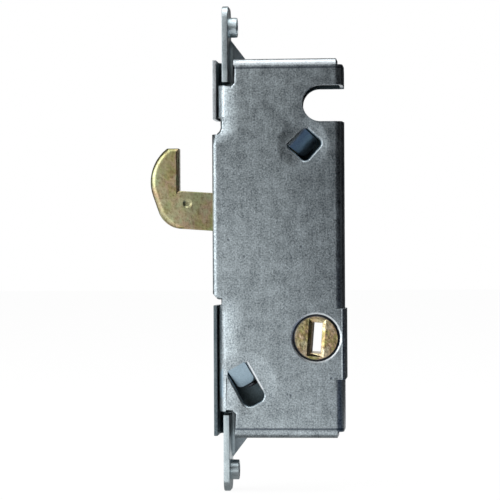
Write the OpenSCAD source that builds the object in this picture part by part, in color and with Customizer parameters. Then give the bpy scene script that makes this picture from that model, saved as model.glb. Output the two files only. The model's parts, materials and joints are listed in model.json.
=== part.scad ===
// Mortise lock for a sliding patio door: a quarter turn of the hub swings a hook out of the case.
// Millimetres. X runs from the hook to the rear wall, Y from the cover to the back shell, Z is up.
// The origin lies midway between the two screw holes, on the outer face of the ears.

/* [Case] */
// Height of the case over its top and bottom walls
case_h = 100; // [92:0.5:108]
// Depth of the case from its front lips to its rear wall
case_d = 34.4; // [34.2:0.1:38]
// Thickness of the case over both shells
case_t = 12.7; // [12.3:0.1:14]
// Thickness of the sheet of both shells
sheet_t = 1; // [0.8:0.05:1.1]
// Outside radius of the cover's bends
bend_r = 2; // [1.6:0.1:2.4]
// Distance that the front lips stand ahead of the ears
lip_proud = 2.6; // [2.2:0.1:3]
// Gap between a front lip and the cover's tab behind it
lip_gap = 0.5; // [0.3:0.05:0.8]
// Height of the upper front lip
upper_lip_h = 15.7; // [12:0.1:17]
// Height of the lower front lip
lower_lip_h = 34.5; // [28:0.1:35]
// Lower edge of the cover between the two lips
mouth_low = -13.4; // [-14:0.1:-8]
// Upper edge of the cover between the two lips
mouth_high = 30.1; // [29:0.1:31]
// Outside radius of the rolled edge at the mouth
mouth_roll_r = 1.4; // [1.2:0.05:1.8]

/* [Ears] */
// Distance between the two screw holes
hole_spacing = 117.475; // [114:0.005:122]
// Thickness of the ear brackets
ear_t = 1.6; // [1.2:0.1:1.8]
// Width of an ear
ear_w = 11.2; // [9:0.1:11.4]
// Distance from a screw hole to the end of its ear
ear_end = 5.4; // [4.5:0.1:7]
// Radius of the tapped hole
tap_r = 1.75; // [1.4:0.05:2]
// Radius of the drawn collar round the tapped hole
collar_r = 2.65; // [2.4:0.05:3]
// Height of the drawn collar
collar_h = 2.1; // [1.2:0.1:2.6]
// Radius of the rivets that hold a bracket to the back shell
rivet_r = 1.5; // [1:0.1:1.8]

/* [Handle screw notch] */
// Distance of the notch's centre ahead of the rear wall
notch_back = 6.6; // [5.8:0.1:8]
// Height of the notch's centre
notch_z = 38.1; // [37:0.1:39.5]
// Radius of the notch in the cover
notch_r = 4.75; // [3.8:0.05:5]
// Radius of the notch in the back shell
back_notch_r = 4.4; // [3.5:0.05:5]

/* [Hub] */
// Distance of the hub's axis ahead of the rear wall
hub_back = 7.15; // [7.1:0.05:8]
// Height of the hub's axis
hub_z = -23.6; // [-25:0.1:-22.5]
// Radius of the hub in the cover
hub_r = 6.1; // [5.8:0.05:6.15]
// Radius of the hub's shoulder behind the cover
hub_shoulder_r = 6.45; // [6.4:0.05:6.5]
// Radius of the hub in the back shell
hub_tail_r = 4.9; // [4.7:0.05:5]
// Width of the tailpiece slot
slot_w = 2.7; // [2:0.1:3.2]
// Length of the tailpiece slot
slot_l = 8.1; // [6:0.1:8.3]
// Lean of the slot from upright
slot_lean = 4.4; // [0:0.1:8]

/* [Hook] */
// Distance of the hook's pivot behind the ears
pivot_x = 11.5; // [11:0.1:12]
// Height of the hook's pivot
pivot_z = 21; // [20:0.1:21.5]
// Radius of the pivot stud
pivot_r = 3; // [2.6:0.05:3.2]
// Thickness of the hook
hook_t = 5; // [4.4:0.1:5.2]
// Distance that the hook reaches ahead of the ears
hook_reach = 19.6; // [17:0.1:20]
// Height of the hook's tip
hook_tip_z = 26.7; // [24.5:0.1:27]
// Height of the underside of the hook's arm
arm_low = 5.3; // [4.8:0.1:6.5]
// Height of the upper side of the hook's arm
arm_high = 15.4; // [13.5:0.1:16]
// Gap between the hook's upright and the ears, which takes the keeper
throat = 11.9; // [10.8:0.1:12.5]
// Fall of the arm from the hook's upright to the ears
arm_fall = 0.8; // [0:0.1:1]
// Angle through which hub and hook turn
travel = 90; // [85:1:90]

/* [Linkage] */
// Distance of each link pin from the axis that carries it
crank_r = 10.8; // [10.6:0.1:11.2]
// Radius of the link pins
pin_r = 1.6; // [1.3:0.05:1.8]
// Radius of the link's eyes
eye_r = 3.1; // [2.8:0.05:3.3]
// Width of the link between its eyes
link_w = 4; // [3:0.1:4.4]
// Thickness of the link
link_t = 1.8; // [1.2:0.1:2]
// Thickness of the crank arm
crank_t = 4.4; // [3.6:0.1:4.6]

/* [Spring] */
// Diameter of the spring wire
wire_d = 1; // [0.8:0.05:1.1]
// Mean radius of the spring's curls
curl_r = 3.4; // [3:0.1:3.8]
// Rise of each curl
curl_pitch = 1.45; // [1.4:0.05:1.6]
// Whole curls between the two legs
curls = 2; // [2:1:3]

/* [Fits] */
// Clearance round a turning shaft
run_fit = 0.06; // [0.03:0.01:0.09]
// Clearance round a fixed pin or a pressed piece
seat_fit = 0.02; // [0.01:0.01:0.05]
// Clearance between faces that pass each other
face_fit = 0.3; // [0.2:0.05:0.4]
// Clearance at the link's upper eye, where the linkage closes
loop_fit = 0.2; // [0.15:0.05:0.3]

/* [Hidden] */
$fn = 64;

zinc = "#a9aeb1";
chromate = "#b3a271";
steel = "#8d9093";
music_wire = "#6f7276";
bronze = "#b08d4a";

// Faces of the case
front_y = -case_t / 2;
back_y = case_t / 2;
inner_front_y = front_y + sheet_t;
inner_back_y = back_y - sheet_t;
lip_x = -lip_proud;
rear_x = case_d - lip_proud;
top_z = case_h / 2;
tab_x = lip_x + sheet_t + lip_gap;
seat_gap = 0.05;
flange_end_y = inner_back_y - seat_gap;

// Outline of the cover, whose rear wall swells outwards beside the hub
corner_x = 3;
corner_h = 7;
corner_fill = 0.6;
corner_z = top_z - corner_h;
upper_lip_inset = 0.2;
lower_lip_inset = 0.5;
upper_lip_z = top_z - upper_lip_inset - upper_lip_h;
lower_lip_z = -top_z + lower_lip_inset + lower_lip_h;
upper_tab_z = upper_lip_z + 0.5 * sheet_t;
lower_tab_z = lower_lip_z + 0.2 * sheet_t;
mouth_x = lip_x - 0.1 * sheet_t;
mouth_lip_y = front_y + 2.6 * sheet_t;
relief_x = -0.4;
mouth_fillet_r = 2;
mouth_slant = 1.5;
wall_inset = 1.7;
shell_corner = wall_inset + sheet_t;
top_flange_x = rear_x - wall_inset;
rear_flange_z = top_z - wall_inset;
swell_low = hub_z - 1.8 * hub_r;
swell_high = hub_z + 1.26 * hub_r;
swell_x = rear_x + 0.09 * hub_r;
swell_r = 1.2 * sheet_t;

// Ears
ear_y1 = inner_back_y;
ear_y0 = ear_y1 - ear_w;
ear_tip_z = hole_spacing / 2 + ear_end;
ear_root_z = corner_z + 0.9;
ear_corner_r = 3;
ear_bend_r = 2;
web_x = 6;
web_z = hole_spacing / 2 - collar_r - 0.3;
base_x = 15;
base_h = 7.6;
base_top_z = top_z - 1.5 * sheet_t;
rivet_x = [6.2, 12];
rivet_z = top_z - 4.9;
rivet_head_r = 1.7 * rivet_r;
rivet_head_h = 0.7;

// Hub, pivot and the parallelogram between them, locked
hub_x = rear_x - hub_back;
hub = [hub_x, hub_z];
pivot = [pivot_x, pivot_z];
link_a = atan2(pivot[1] - hub[1], pivot[0] - hub[0]);
crank_a = link_a + 40;
crank_pin_at = hub + crank_r * [cos(crank_a), sin(crank_a)];
hook_pin_at = pivot + crank_r * [cos(crank_a), sin(crank_a)];
hook_y = hook_t / 2;
link_y0 = hook_y + 1.5 * face_fit;
link_y1 = link_y0 + link_t;
pin_end_y = link_y1 + face_fit / 2;
washer_t = face_fit;
washer_r = 0.9 * eye_r;

// Hub details
hub_hole_r = hub_r + run_fit;
hub_chamfer = 0.45;
die_roll = 0.65;
die_roll_depth = 0.35;
slot_lead = 0.85;
slot_lead_depth = 0.5;
shoulder_y = inner_front_y + 2 * seat_gap;
seat_flat = 4.3;
crank_y = crank_t / 2;
crank_ring_r = 6.4;
spacer_r = 5.9;

// Hook details
crown_r = 11.2;
crown_z = 17.8;
crown_at = [crown_r - hook_reach, crown_z];
heel_r = 6.7;
heel_inset = 1.75;
heel_lift = 0.02;
heel_at = [heel_inset - hook_reach + heel_r, arm_low + heel_lift + heel_r];
crown_to_heel = heel_at - crown_at;
cheek_a = atan2(crown_to_heel[1], crown_to_heel[0]) - acos((crown_r - heel_r) / norm(crown_to_heel));
cheek_proud = 0.01;
boss_r = 7;
bush_r = pivot_r + 1.2;
lobe_r = eye_r + 0.2;
dimple_at = [2.3 - throat, arm_low + 6.7];
dimple_r = 1.35;
dimple_depth = 0.5;
washer_od_r = pivot_r + 1.5;
stud_shoulder_r = 4.3;
stud_rivet_r = 2.4;

// Stop tongue: lanced from the cover, it stands in the gap of the hook's boss
stop_at = pivot + crank_r * [0.733, 0.787];
stop_a = -42;
stop_w = 6.3;
stop_slot_l = 6.5;
stop_leg = 5.7;
stop_fold = 38;
fold_r = 0.5;
fold_step = 0.01;
fold_lap = 0.05;
tongue_corner = 0.3;
lance_gap = 0.25;
lance_r = 1.2;
// Reach of the stop tongue along its own direction, inside the hook's layer
stop_leg_y = inner_front_y + fold_r * (1 - cos(stop_fold));
stop_near_u = fold_r * sin(stop_fold) - (hook_y + stop_leg_y) / tan(stop_fold);
stop_far_u = (fold_r + sheet_t) * sin(stop_fold) + stop_leg * cos(stop_fold);

// Spring tongue: lanced from the cover below the hub, its edge faces the hub
anchor_x = 3.05;
anchor_at = [anchor_x, hub_z - 0.63 * crank_r];
anchor_a = -61;
anchor_w = 5.2;
anchor_slot_l = 11.9;
anchor_slot_r = 1.8;
anchor_fold = 30;
anchor_leg = 6.6;

// Spring path
wire_fit = 0.1;
eye_path_r = pin_r + wire_fit + wire_d / 2;
leg_y = inner_front_y + 1.25 * wire_d;
curl_at = anchor_at + crank_r * [0.176, 0.778];

function unit(a) = [cos(a), sin(a)];
function along(p, a, u, v) = p + u * unit(a) + v * unit(a + 90);
function turned(p, c, a) = c + [[cos(a), -sin(a)], [sin(a), cos(a)]] * (p - c);

// Extrudes a drawing in X and Z from y0 to y1
module slab(y0, y1) {
    translate([0, y1, 0])
        rotate([90, 0, 0])
            linear_extrude(height = y1 - y0)
                children();
}

// Moves a shape to p in X and Z and turns it by a, with X towards Z
module at(p, a = 0) {
    translate([p[0], 0, p[1]])
        rotate([0, -a, 0])
            children();
}

// Round bar along Y, with radius r0 at y0 and r1 at y1
module rod(p, r0, y0, y1, r1 = undef) {
    translate([p[0], y1, p[1]])
        rotate([90, 0, 0])
            cylinder(r1 = is_undef(r1) ? r0 : r1, r2 = r0, h = y1 - y0);
}

// Flat bar between two points, in X and Z
module bar(p, q, w) {
    d = q - p;
    translate(p)
        rotate(atan2(d[1], d[0]))
            translate([0, -w / 2])
                square([norm(d), w]);
}

// Rectangle with round corners, from its near edge along X and centred on Y
module rounded(l, w, r) {
    translate([r, -w / 2])
        square([l - 2 * r, w]);
    translate([0, r - w / 2])
        square([l, w - 2 * r]);
    for (x = [r, l - r], y = [r - w / 2, w / 2 - r])
        translate([x, y])
            circle(r);
}

// Wall folded back from the front face at X = outer, between heights z0 and z1
module flange(z0, z1, outer, r, y_end) {
    translate([outer - r, front_y + r, z0])
        rotate([0, 0, -90])
            rotate_extrude(angle = 90)
                translate([r - sheet_t, 0])
                    square([sheet_t, z1 - z0]);
    translate([outer - sheet_t, front_y + r, z0])
        cube([sheet_t, y_end - front_y - r, z1 - z0]);
}

// Tongue folded inwards from the cover along local X, with a round end
module tongue(w, leg, fold) {
    translate([0, inner_front_y + fold_r, 0]) {
        rotate([0, 0, -90])
            rotate_extrude(angle = fold)
                translate([fold_r, -w / 2])
                    square([sheet_t, w]);
        rotate([0, 0, fold - 90])
            translate([fold_r + sheet_t - fold_step, -fold_lap, 0])
                rotate([0, -90, 0])
                    linear_extrude(height = sheet_t - 2 * fold_step)
                        rotate(90)
                            tongue_leg(w - 2 * fold_step, leg + fold_lap);
    }
}

// Flat of a tongue's leg, with its two far corners rounded
module tongue_leg(w, leg) {
    r = w * tongue_corner;
    translate([0, -w / 2])
        square([leg - r, w]);
    translate([0, r - w / 2])
        square([leg, w - 2 * r]);
    for (y = [r - w / 2, w / 2 - r])
        translate([leg - r, y])
            circle(r);
}

// Slot that a tongue is lanced from
module lance_slot(w, l, r) {
    rounded(l, w + 2 * lance_gap, r);
}

// U-shaped notch for the handle screw, open to the rear
module screw_notch(r) {
    translate([rear_x - notch_back, notch_z]) {
        circle(r);
        translate([0, -r])
            square([case_d, 2 * r]);
    }
}

// Flat of the cover inside its bends
module cover_flat() {
    x1 = rear_x - bend_r;
    z1 = top_z - bend_r;
    tab_flat = tab_x + bend_r;
    mouth_flat = mouth_x + mouth_roll_r;
    fillet_at = [relief_x - mouth_fillet_r + 0.05, mouth_high + mouth_fillet_r];
    difference() {
        union() {
            polygon([
                [x1, -z1], [x1, z1], [corner_x, z1],
                [corner_x, corner_z + corner_fill], [corner_x - corner_fill, corner_z],
                [tab_flat, corner_z], [tab_flat, upper_tab_z],
                [relief_x, upper_tab_z], [relief_x, mouth_high], [mouth_flat, mouth_high],
                [mouth_flat, mouth_low], [relief_x, mouth_low],
                [relief_x, lower_tab_z], [tab_flat, lower_tab_z],
                [tab_flat, -corner_z], [corner_x - corner_fill, -corner_z],
                [corner_x, -corner_z - corner_fill], [corner_x, -z1]]);
            translate([mouth_flat, mouth_high - 1])
                square([relief_x - mouth_flat + 1, mouth_fillet_r + 1]);
            translate([x1, swell_low])
                square([swell_x - swell_r - x1, swell_high - swell_low]);
        }
        translate(fillet_at)
            circle(mouth_fillet_r);
        translate(hub)
            circle(hub_hole_r);
        translate(stop_at)
            rotate(stop_a)
                lance_slot(stop_w, stop_slot_l, lance_r);
        translate(anchor_at)
            rotate(anchor_a)
                lance_slot(anchor_w, anchor_slot_l, anchor_slot_r);
    }
}

// Ends of the cover's walls that pass through the back shell, and the tenon through its upper lip
tab_gap = 0.1;
tab_w = 5;
tenon_w = 3;
tenon_h = 2.1;
tenon_proud = 0.25;
tenon_z = upper_lip_z + 4.9;
wall_tabs_x = [12, 23];
rear_tabs_z = [8, -41];

// Tabs of all the walls, wider by gap on each side
module wall_tabs(y0, y1, gap) {
    t = sheet_t + 2 * gap;
    for (x = wall_tabs_x, s = [-1, 1])
        translate([x - tab_w / 2 - gap, y0, s * (top_z - sheet_t / 2) - t / 2])
            cube([tab_w + 2 * gap, y1 - y0, t]);
    for (z = rear_tabs_z)
        translate([rear_x - sheet_t - gap, y0, z - tab_w / 2 - gap])
            cube([t, y1 - y0, tab_w + 2 * gap]);
}

// Tenon of the upper front tab, from X = x0, wider by gap on each side
module lip_tenon(x0, gap) {
    translate([x0, -tenon_w / 2 - gap, tenon_z - tenon_h / 2 - gap])
        cube([tab_x + sheet_t / 2 - x0, tenon_w + 2 * gap, tenon_h + 2 * gap]);
}

// Stamped cover with walls at the top, bottom and rear, tabs at the front and two lanced tongues
module front_cover() {
    web_notch_x = web_x + 2 * face_fit;
    front_tab_y = flange_end_y - ear_t - 2 * face_fit;
    color(zinc)
    difference() {
        union() {
            slab(front_y, inner_front_y)
                cover_flat();
            flange(-rear_flange_z, swell_low, rear_x, bend_r, flange_end_y);
            flange(swell_low, swell_high, swell_x, swell_r, flange_end_y);
            flange(swell_high, rear_flange_z, rear_x, bend_r, flange_end_y);
            at([0, 0], 90)
                flange(-top_flange_x, -corner_x, top_z, bend_r, flange_end_y);
            at([0, 0], -90)
                flange(corner_x, top_flange_x, top_z, bend_r, flange_end_y);
            at([0, 0], 180) {
                flange(-corner_z, -upper_tab_z, -tab_x, bend_r, front_tab_y);
                flange(-lower_tab_z, corner_z, -tab_x, bend_r, front_tab_y);
                flange(-mouth_high, -mouth_low, -mouth_x, mouth_roll_r, mouth_lip_y);
            }
            at(stop_at, stop_a)
                tongue(stop_w, stop_leg, stop_fold);
            at(anchor_at, anchor_a)
                tongue(anchor_w, anchor_leg, anchor_fold);
            wall_tabs(flange_end_y, back_y, 0);
            lip_tenon(lip_x - tenon_proud, 0);
        }
        slab(front_y - 1, back_y + 1)
            screw_notch(notch_r);
        for (z = [-top_z - 1, top_z - bend_r - 1])
            translate([0, ear_y1 - ear_t - face_fit, z])
                cube([web_notch_x, case_t, bend_r + 2]);
        rod(hub, hub_hole_r + die_roll, front_y, front_y + die_roll_depth, hub_hole_r);
        slab(front_y - 1, mouth_lip_y + 1)
            polygon([
                [mouth_x - 1, mouth_low - face_fit], [mouth_x - 1, mouth_low + mouth_slant],
                [mouth_x, mouth_low + mouth_slant], [mouth_x + mouth_slant, mouth_low],
                [mouth_x + mouth_slant, mouth_low - face_fit]]);
    }
}

// Flat of the back shell
module back_flat() {
    lip_flat = lip_x + bend_r;
    difference() {
        union() {
            polygon([
                [lip_flat, -top_z], [lip_flat, top_z],
                [rear_x - shell_corner, top_z], [rear_x, top_z - shell_corner],
                [rear_x, shell_corner - top_z], [rear_x - shell_corner, -top_z]]);
            translate([lip_x, mouth_low])
                square([lip_flat - lip_x, mouth_high - mouth_low]);
            translate([rear_x - sheet_t, swell_low])
                square([swell_x - rear_x + sheet_t, swell_high - swell_low]);
        }
        screw_notch(back_notch_r);
        translate(hub)
            circle(hub_tail_r + run_fit);
        translate(pivot)
            circle(stud_rivet_r + seat_fit);
        for (x = rivet_x, s = [-1, 1])
            translate([x, s * rivet_z])
                circle(rivet_r + seat_fit);
    }
}

// Stamped back shell with the two front lips that bound the mouth
module back_shell() {
    lip_y = front_y + upper_lip_inset;
    color(zinc)
    difference() {
        union() {
            slab(inner_back_y, back_y)
                back_flat();
            mirror([0, 1, 0])
                at([0, 0], 180) {
                    flange(-top_z + upper_lip_inset, -upper_lip_z, -lip_x, bend_r, -lip_y);
                    flange(-lower_lip_z, top_z - lower_lip_inset, -lip_x, bend_r, -lip_y);
                }
        }
        wall_tabs(inner_back_y - 1, back_y + 1, tab_gap);
        lip_tenon(lip_x - 1, tab_gap);
    }
}

// Angle bracket of the upper ear: a leg with the tapped collar, and a base inside the back shell
module ear_bracket() {
    difference() {
        union() {
            ear_leg();
            slab(ear_y1 - ear_t, ear_y1)
                polygon([
                    [0, ear_root_z], [0, web_z], [ear_t, web_z], [web_x, top_z], [web_x, base_top_z],
                    [base_x, base_top_z], [base_x, top_z - base_h], [corner_x, top_z - base_h]]);
            translate([0, 0, hole_spacing / 2])
                rotate([0, 90, 0])
                    cylinder(r = collar_r, h = ear_t + collar_h);
        }
        translate([-1, 0, hole_spacing / 2])
            rotate([0, 90, 0])
                cylinder(r = tap_r, h = ear_t + collar_h + 2);
        for (x = rivet_x)
            rod([x, rivet_z], rivet_r + seat_fit, front_y, back_y);
        translate([0, 0, ear_root_z - 1])
            linear_extrude(height = web_z - ear_root_z + 1)
                difference() {
                    translate([-1, ear_y1 - ear_bend_r])
                        square(ear_bend_r + 1);
                    translate([ear_bend_r, ear_y1 - ear_bend_r])
                        circle(ear_bend_r + fold_step);
                }
    }
}

// Leg of an ear, with its two outer corners rounded
module ear_leg() {
    leg_h = ear_tip_z - ear_root_z;
    translate([0, ear_y0 + ear_w / 2, ear_tip_z])
        rotate([0, 90, 0])
            linear_extrude(height = ear_t) {
                translate([ear_corner_r, -ear_w / 2])
                    square([leg_h - ear_corner_r, ear_w]);
                translate([0, ear_corner_r - ear_w / 2])
                    square([leg_h, ear_w - 2 * ear_corner_r]);
                for (s = [-1, 1])
                    translate([ear_corner_r, s * (ear_w / 2 - ear_corner_r)])
                        circle(ear_corner_r);
            }
}

module upper_ear() {
    color(zinc)
        ear_bracket();
}

module lower_ear() {
    color(zinc)
        mirror([0, 0, 1])
            ear_bracket();
}

// Four rivets that hold the two brackets, flush with the back face
module ear_rivets() {
    head_y = ear_y1 - ear_t;
    color(steel)
    for (x = rivet_x, s = [-1, 1]) {
        rod([x, s * rivet_z], rivet_r, head_y, back_y);
        rod([x, s * rivet_z], 0.8 * rivet_head_r, head_y - rivet_head_h, head_y, rivet_head_r);
    }
}

// Stud riveted into the back shell, with a shoulder that spaces the hook
module hook_pivot() {
    color(steel) {
        rod(pivot, pivot_r, inner_front_y + seat_gap, hook_y + face_fit / 2);
        rod(pivot, stud_shoulder_r, hook_y + face_fit / 2, inner_back_y);
        rod(pivot, stud_rivet_r, inner_back_y, back_y);
    }
}

// Washer that spaces the hook from the cover
module hook_washer() {
    color(steel)
    difference() {
        rod(pivot, washer_od_r, inner_front_y + 2 * seat_gap, -hook_y - face_fit / 2);
        rod(pivot, pivot_r + seat_fit, front_y, back_y);
    }
}

// Blade of the hook: a crown and a smaller heel, joined by a straight cheek
module blade_outline() {
    intersection() {
        union() {
            translate(crown_at)
                circle(crown_r);
            translate(heel_at)
                circle(heel_r);
            polygon([
                crown_at, crown_at + (crown_r + cheek_proud) * unit(cheek_a),
                heel_at + (heel_r + cheek_proud) * unit(cheek_a), heel_at]);
        }
        polygon([
            [-throat, arm_low - 1], [-throat, hook_tip_z],
            [-hook_reach - 1, hook_tip_z], [-hook_reach - 1, arm_low - 1]]);
    }
}

// Boss of the hook with the lobe for the link and the lug that meets the stop tongue when locked
module boss_outline() {
    lug_u = stop_near_u - face_fit;
    lug_low = along(stop_at, stop_a, lug_u, -2.8);
    lug_tip = along(stop_at, stop_a, lug_u, 1.5);
    lug_back = along(stop_at, stop_a, lug_u - 3.5, 1.5);
    translate(pivot)
        circle(boss_r);
    translate(hook_pin_at)
        circle(lobe_r);
    bar(pivot, hook_pin_at, 1.8 * lobe_r);
    polygon([pivot, lug_low, lug_tip, lug_back, pivot + [-2, 6]]);
}

// Arm of the hook, whose inner end meets the stop tongue when unlocked
module arm_outline() {
    heel_u = stop_far_u + face_fit;
    heel_top = turned(along(stop_at, stop_a, heel_u, -4.6), pivot, -travel);
    heel_tip = turned(along(stop_at, stop_a, heel_u, 1), pivot, -travel);
    polygon([
        [-throat - 2, arm_low + 2], [-throat - 1, arm_high - 0.5], [0.2 - throat, arm_high],
        [0, arm_high - arm_fall], pivot + [2 - boss_r, 0], pivot + [1, 1], heel_top, heel_tip,
        [heel_tip[0] - 2.4, arm_low - arm_fall], [0, arm_low - arm_fall], [heel_at[0], arm_low]]);
}

// Hook with its pivot bore, in the locked position
module hook_bolt() {
    color(chromate)
    difference() {
        union() {
            slab(-hook_y, hook_y)
                blade_outline();
            slab(-hook_y, hook_y)
                arm_outline();
            slab(-hook_y, hook_y)
                boss_outline();
        }
        rod(pivot, bush_r + seat_fit, front_y, back_y);
        rod(hook_pin_at, pin_r + seat_fit, front_y, back_y);
        rod(dimple_at, dimple_r, -hook_y, -hook_y + dimple_depth, 0.4 * dimple_r);
    }
}

// Bearing bush pressed into the hook
module hook_bush() {
    color(bronze)
    difference() {
        rod(pivot, bush_r, -hook_y, hook_y);
        rod(pivot, pivot_r + run_fit, front_y, back_y);
    }
}

// Pin in the hook that the link's upper eye turns on
module hook_link_pin() {
    color(steel)
        rod(hook_pin_at, pin_r, -hook_y, pin_end_y);
}

// Washer between the hook and the link
module hook_pin_washer() {
    color(steel)
    difference() {
        rod(hook_pin_at, washer_r, hook_y, hook_y + washer_t);
        rod(hook_pin_at, pin_r + seat_fit, front_y, back_y);
    }
}

// Upright slot through the hub, wider by grow on each side
module tail_slot(grow) {
    translate(hub)
        rotate(-slot_lean)
            square([slot_w + 2 * grow, slot_l + 2 * grow], center = true);
}

// Hub with the tailpiece slot: journal in the cover, shoulder, flats for the crank, journal in the back
module tailpiece_hub() {
    color(chromate)
    difference() {
        union() {
            rod(hub, hub_r - hub_chamfer, front_y, front_y + hub_chamfer, hub_r);
            rod(hub, hub_r, front_y + hub_chamfer, shoulder_y);
            rod(hub, hub_shoulder_r, shoulder_y, -crank_y);
            slab(-crank_y, crank_y)
                hub_seat(0);
            rod(hub, hub_tail_r, crank_y, back_y);
        }
        slab(front_y - 1, back_y + 1)
            tail_slot(0);
        slab(front_y - 1, front_y + slot_lead_depth)
            tail_slot(slot_lead);
    }
}

// Round with two flats that the crank arm fits on, wider by fit
module hub_seat(fit) {
    intersection() {
        translate(hub)
            circle(hub_tail_r + fit);
        translate(hub)
            rotate(crank_a)
                square([4 * hub_r, 2 * (seat_flat + fit)], center = true);
    }
}

// Crank arm on the hub's flats
module crank_arm() {
    color(zinc)
    slab(-crank_y, crank_y)
        difference() {
            union() {
                translate(hub)
                    circle(crank_ring_r);
                translate(crank_pin_at)
                    circle(eye_r);
                bar(hub, crank_pin_at, 2 * eye_r);
            }
            hub_seat(seat_fit);
            translate(crank_pin_at)
                circle(pin_r + seat_fit);
        }
}

// Pin in the crank: the link turns on its rear end and the spring's eye on its front end
module crank_pin() {
    color(steel)
        rod(crank_pin_at, pin_r, inner_front_y + face_fit, pin_end_y);
}

// Washer between the crank and the link
module crank_pin_washer() {
    color(steel)
    difference() {
        rod(crank_pin_at, washer_r, crank_y, crank_y + washer_t);
        rod(crank_pin_at, pin_r + seat_fit, front_y, back_y);
    }
}

// Ring that spaces the crank from the back shell
module hub_spacer() {
    color(steel)
    difference() {
        rod(hub, spacer_r, crank_y, inner_back_y - 2 * seat_gap);
        rod(hub, hub_tail_r + seat_fit, front_y, back_y);
    }
}

// Link between the crank and the hook
module drive_link() {
    color(zinc)
    slab(link_y0, link_y1)
        difference() {
            union() {
                translate(crank_pin_at)
                    circle(eye_r);
                translate(hook_pin_at)
                    circle(eye_r);
                bar(crank_pin_at, hook_pin_at, link_w);
            }
            translate(crank_pin_at)
                circle(pin_r + run_fit);
            translate(hook_pin_at)
                circle(pin_r + loop_fit);
        }
}

// Route of the spring wire: eye round the crank pin, leg, curls, leg and hook round the tongue's tip
leg_dir = curl_at - crank_pin_at;
leg_turn = atan2(leg_dir[1], leg_dir[0]) - acos((eye_path_r - curl_r) / norm(leg_dir));
anchor_u = 0.38 * crank_r;
anchor_v = anchor_w / 2 + wire_d / 2 + wire_fit;
anchor_end = along(anchor_at, anchor_a, anchor_u, anchor_v);
anchor_dir = anchor_end - curl_at;
anchor_turn = atan2(anchor_dir[1], anchor_dir[0]) - acos(curl_r / norm(anchor_dir));
curl_sweep = 360 * curls + (anchor_turn - leg_turn + 720) % 360;
deep_y = leg_y + curl_pitch * curl_sweep / 360;
// Place of the wire ahead of the tongue's tip, along the tongue and in depth
tip_r = fold_r + sheet_t / 2;
tip_reach = anchor_leg + wire_d / 2 + 2 * wire_fit;
hook_u = tip_r * sin(anchor_fold) + tip_reach * cos(anchor_fold);
hook_end_y = inner_front_y + fold_r - tip_r * cos(anchor_fold) + tip_reach * sin(anchor_fold);
rings_per_curl = 8;
curl_steps = ceil(rings_per_curl * curl_sweep / 360);
eye_steps = 10;
eye_sweep = 290;
wire_sides = 6;

function lift(p, y) = [p[0], y, p[1]];

wire_route = concat(
    [for (i = [0 : eye_steps])
        lift(crank_pin_at + eye_path_r * unit(leg_turn - eye_sweep * (1 - i / eye_steps)), leg_y)],
    [for (i = [0 : curl_steps])
        lift(curl_at + curl_r * unit(leg_turn + curl_sweep * i / curl_steps),
            leg_y + (deep_y - leg_y) * i / curl_steps)],
    [lift(along(anchor_at, anchor_a, anchor_u - wire_d, anchor_v + wire_fit), deep_y),
        lift(along(anchor_at, anchor_a, hook_u - wire_d / 2, anchor_v - wire_fit), deep_y),
        lift(along(anchor_at, anchor_a, hook_u, anchor_v - 0.9 * wire_d), (deep_y + hook_end_y) / 2),
        lift(along(anchor_at, anchor_a, hook_u, 0), hook_end_y)]);

function tangent(path, i) =
    let (d = path[min(i + 1, len(path) - 1)] - path[max(i - 1, 0)])
    d / norm(d);

// Ring of points round the wire, held square to Y so that the tube doesn't twist
function ring(path, i) =
    let (t = tangent(path, i), n = cross([0, 1, 0], t), s = n / norm(n), b = cross(t, s))
    [for (k = [0 : wire_sides - 1])
        path[i] + wire_d / 2 * (cos(360 * k / wire_sides) * s + sin(360 * k / wire_sides) * b)];

// Least gap between stretches of the wire that lie more than one curl's third apart
wire_gap = min([for (i = [0 : len(wire_route) - 5], j = [i + 4 : len(wire_route) - 1])
    norm(wire_route[i] - wire_route[j])]) - wire_d;
echo(wire_gap = wire_gap);

// Sweeps the wire along its route as one closed tube
module wire(path) {
    n = wire_sides;
    last = len(path) - 1;
    points = [for (i = [0 : last]) each ring(path, i)];
    sides = [for (i = [0 : last - 1], k = [0 : n - 1])
        let (a = i * n + k, b = i * n + (k + 1) % n)
        each [[a, b, a + n], [b, b + n, a + n]]];
    caps = [for (k = [1 : n - 2])
        each [[0, k + 1, k], [last * n, last * n + k, last * n + k + 1]]];
    polyhedron(points, concat(sides, caps));
}

// Over-centre spring between the cover's tongue and the crank pin
module toggle_spring() {
    color(music_wire)
        wire(wire_route);
}

front_cover();
back_shell();
upper_ear();
lower_ear();
ear_rivets();
hook_pivot();
hook_washer();
hook_bolt();
hook_bush();
hook_link_pin();
hook_pin_washer();
tailpiece_hub();
crank_arm();
crank_pin();
crank_pin_washer();
hub_spacer();
drive_link();
toggle_spring();
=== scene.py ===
"""Looks of a mortise lock for a sliding patio door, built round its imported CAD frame."""

import json
import logging
import math
from dataclasses import dataclass, field
from enum import Enum
from functools import partial
from typing import Any, Callable

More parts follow.
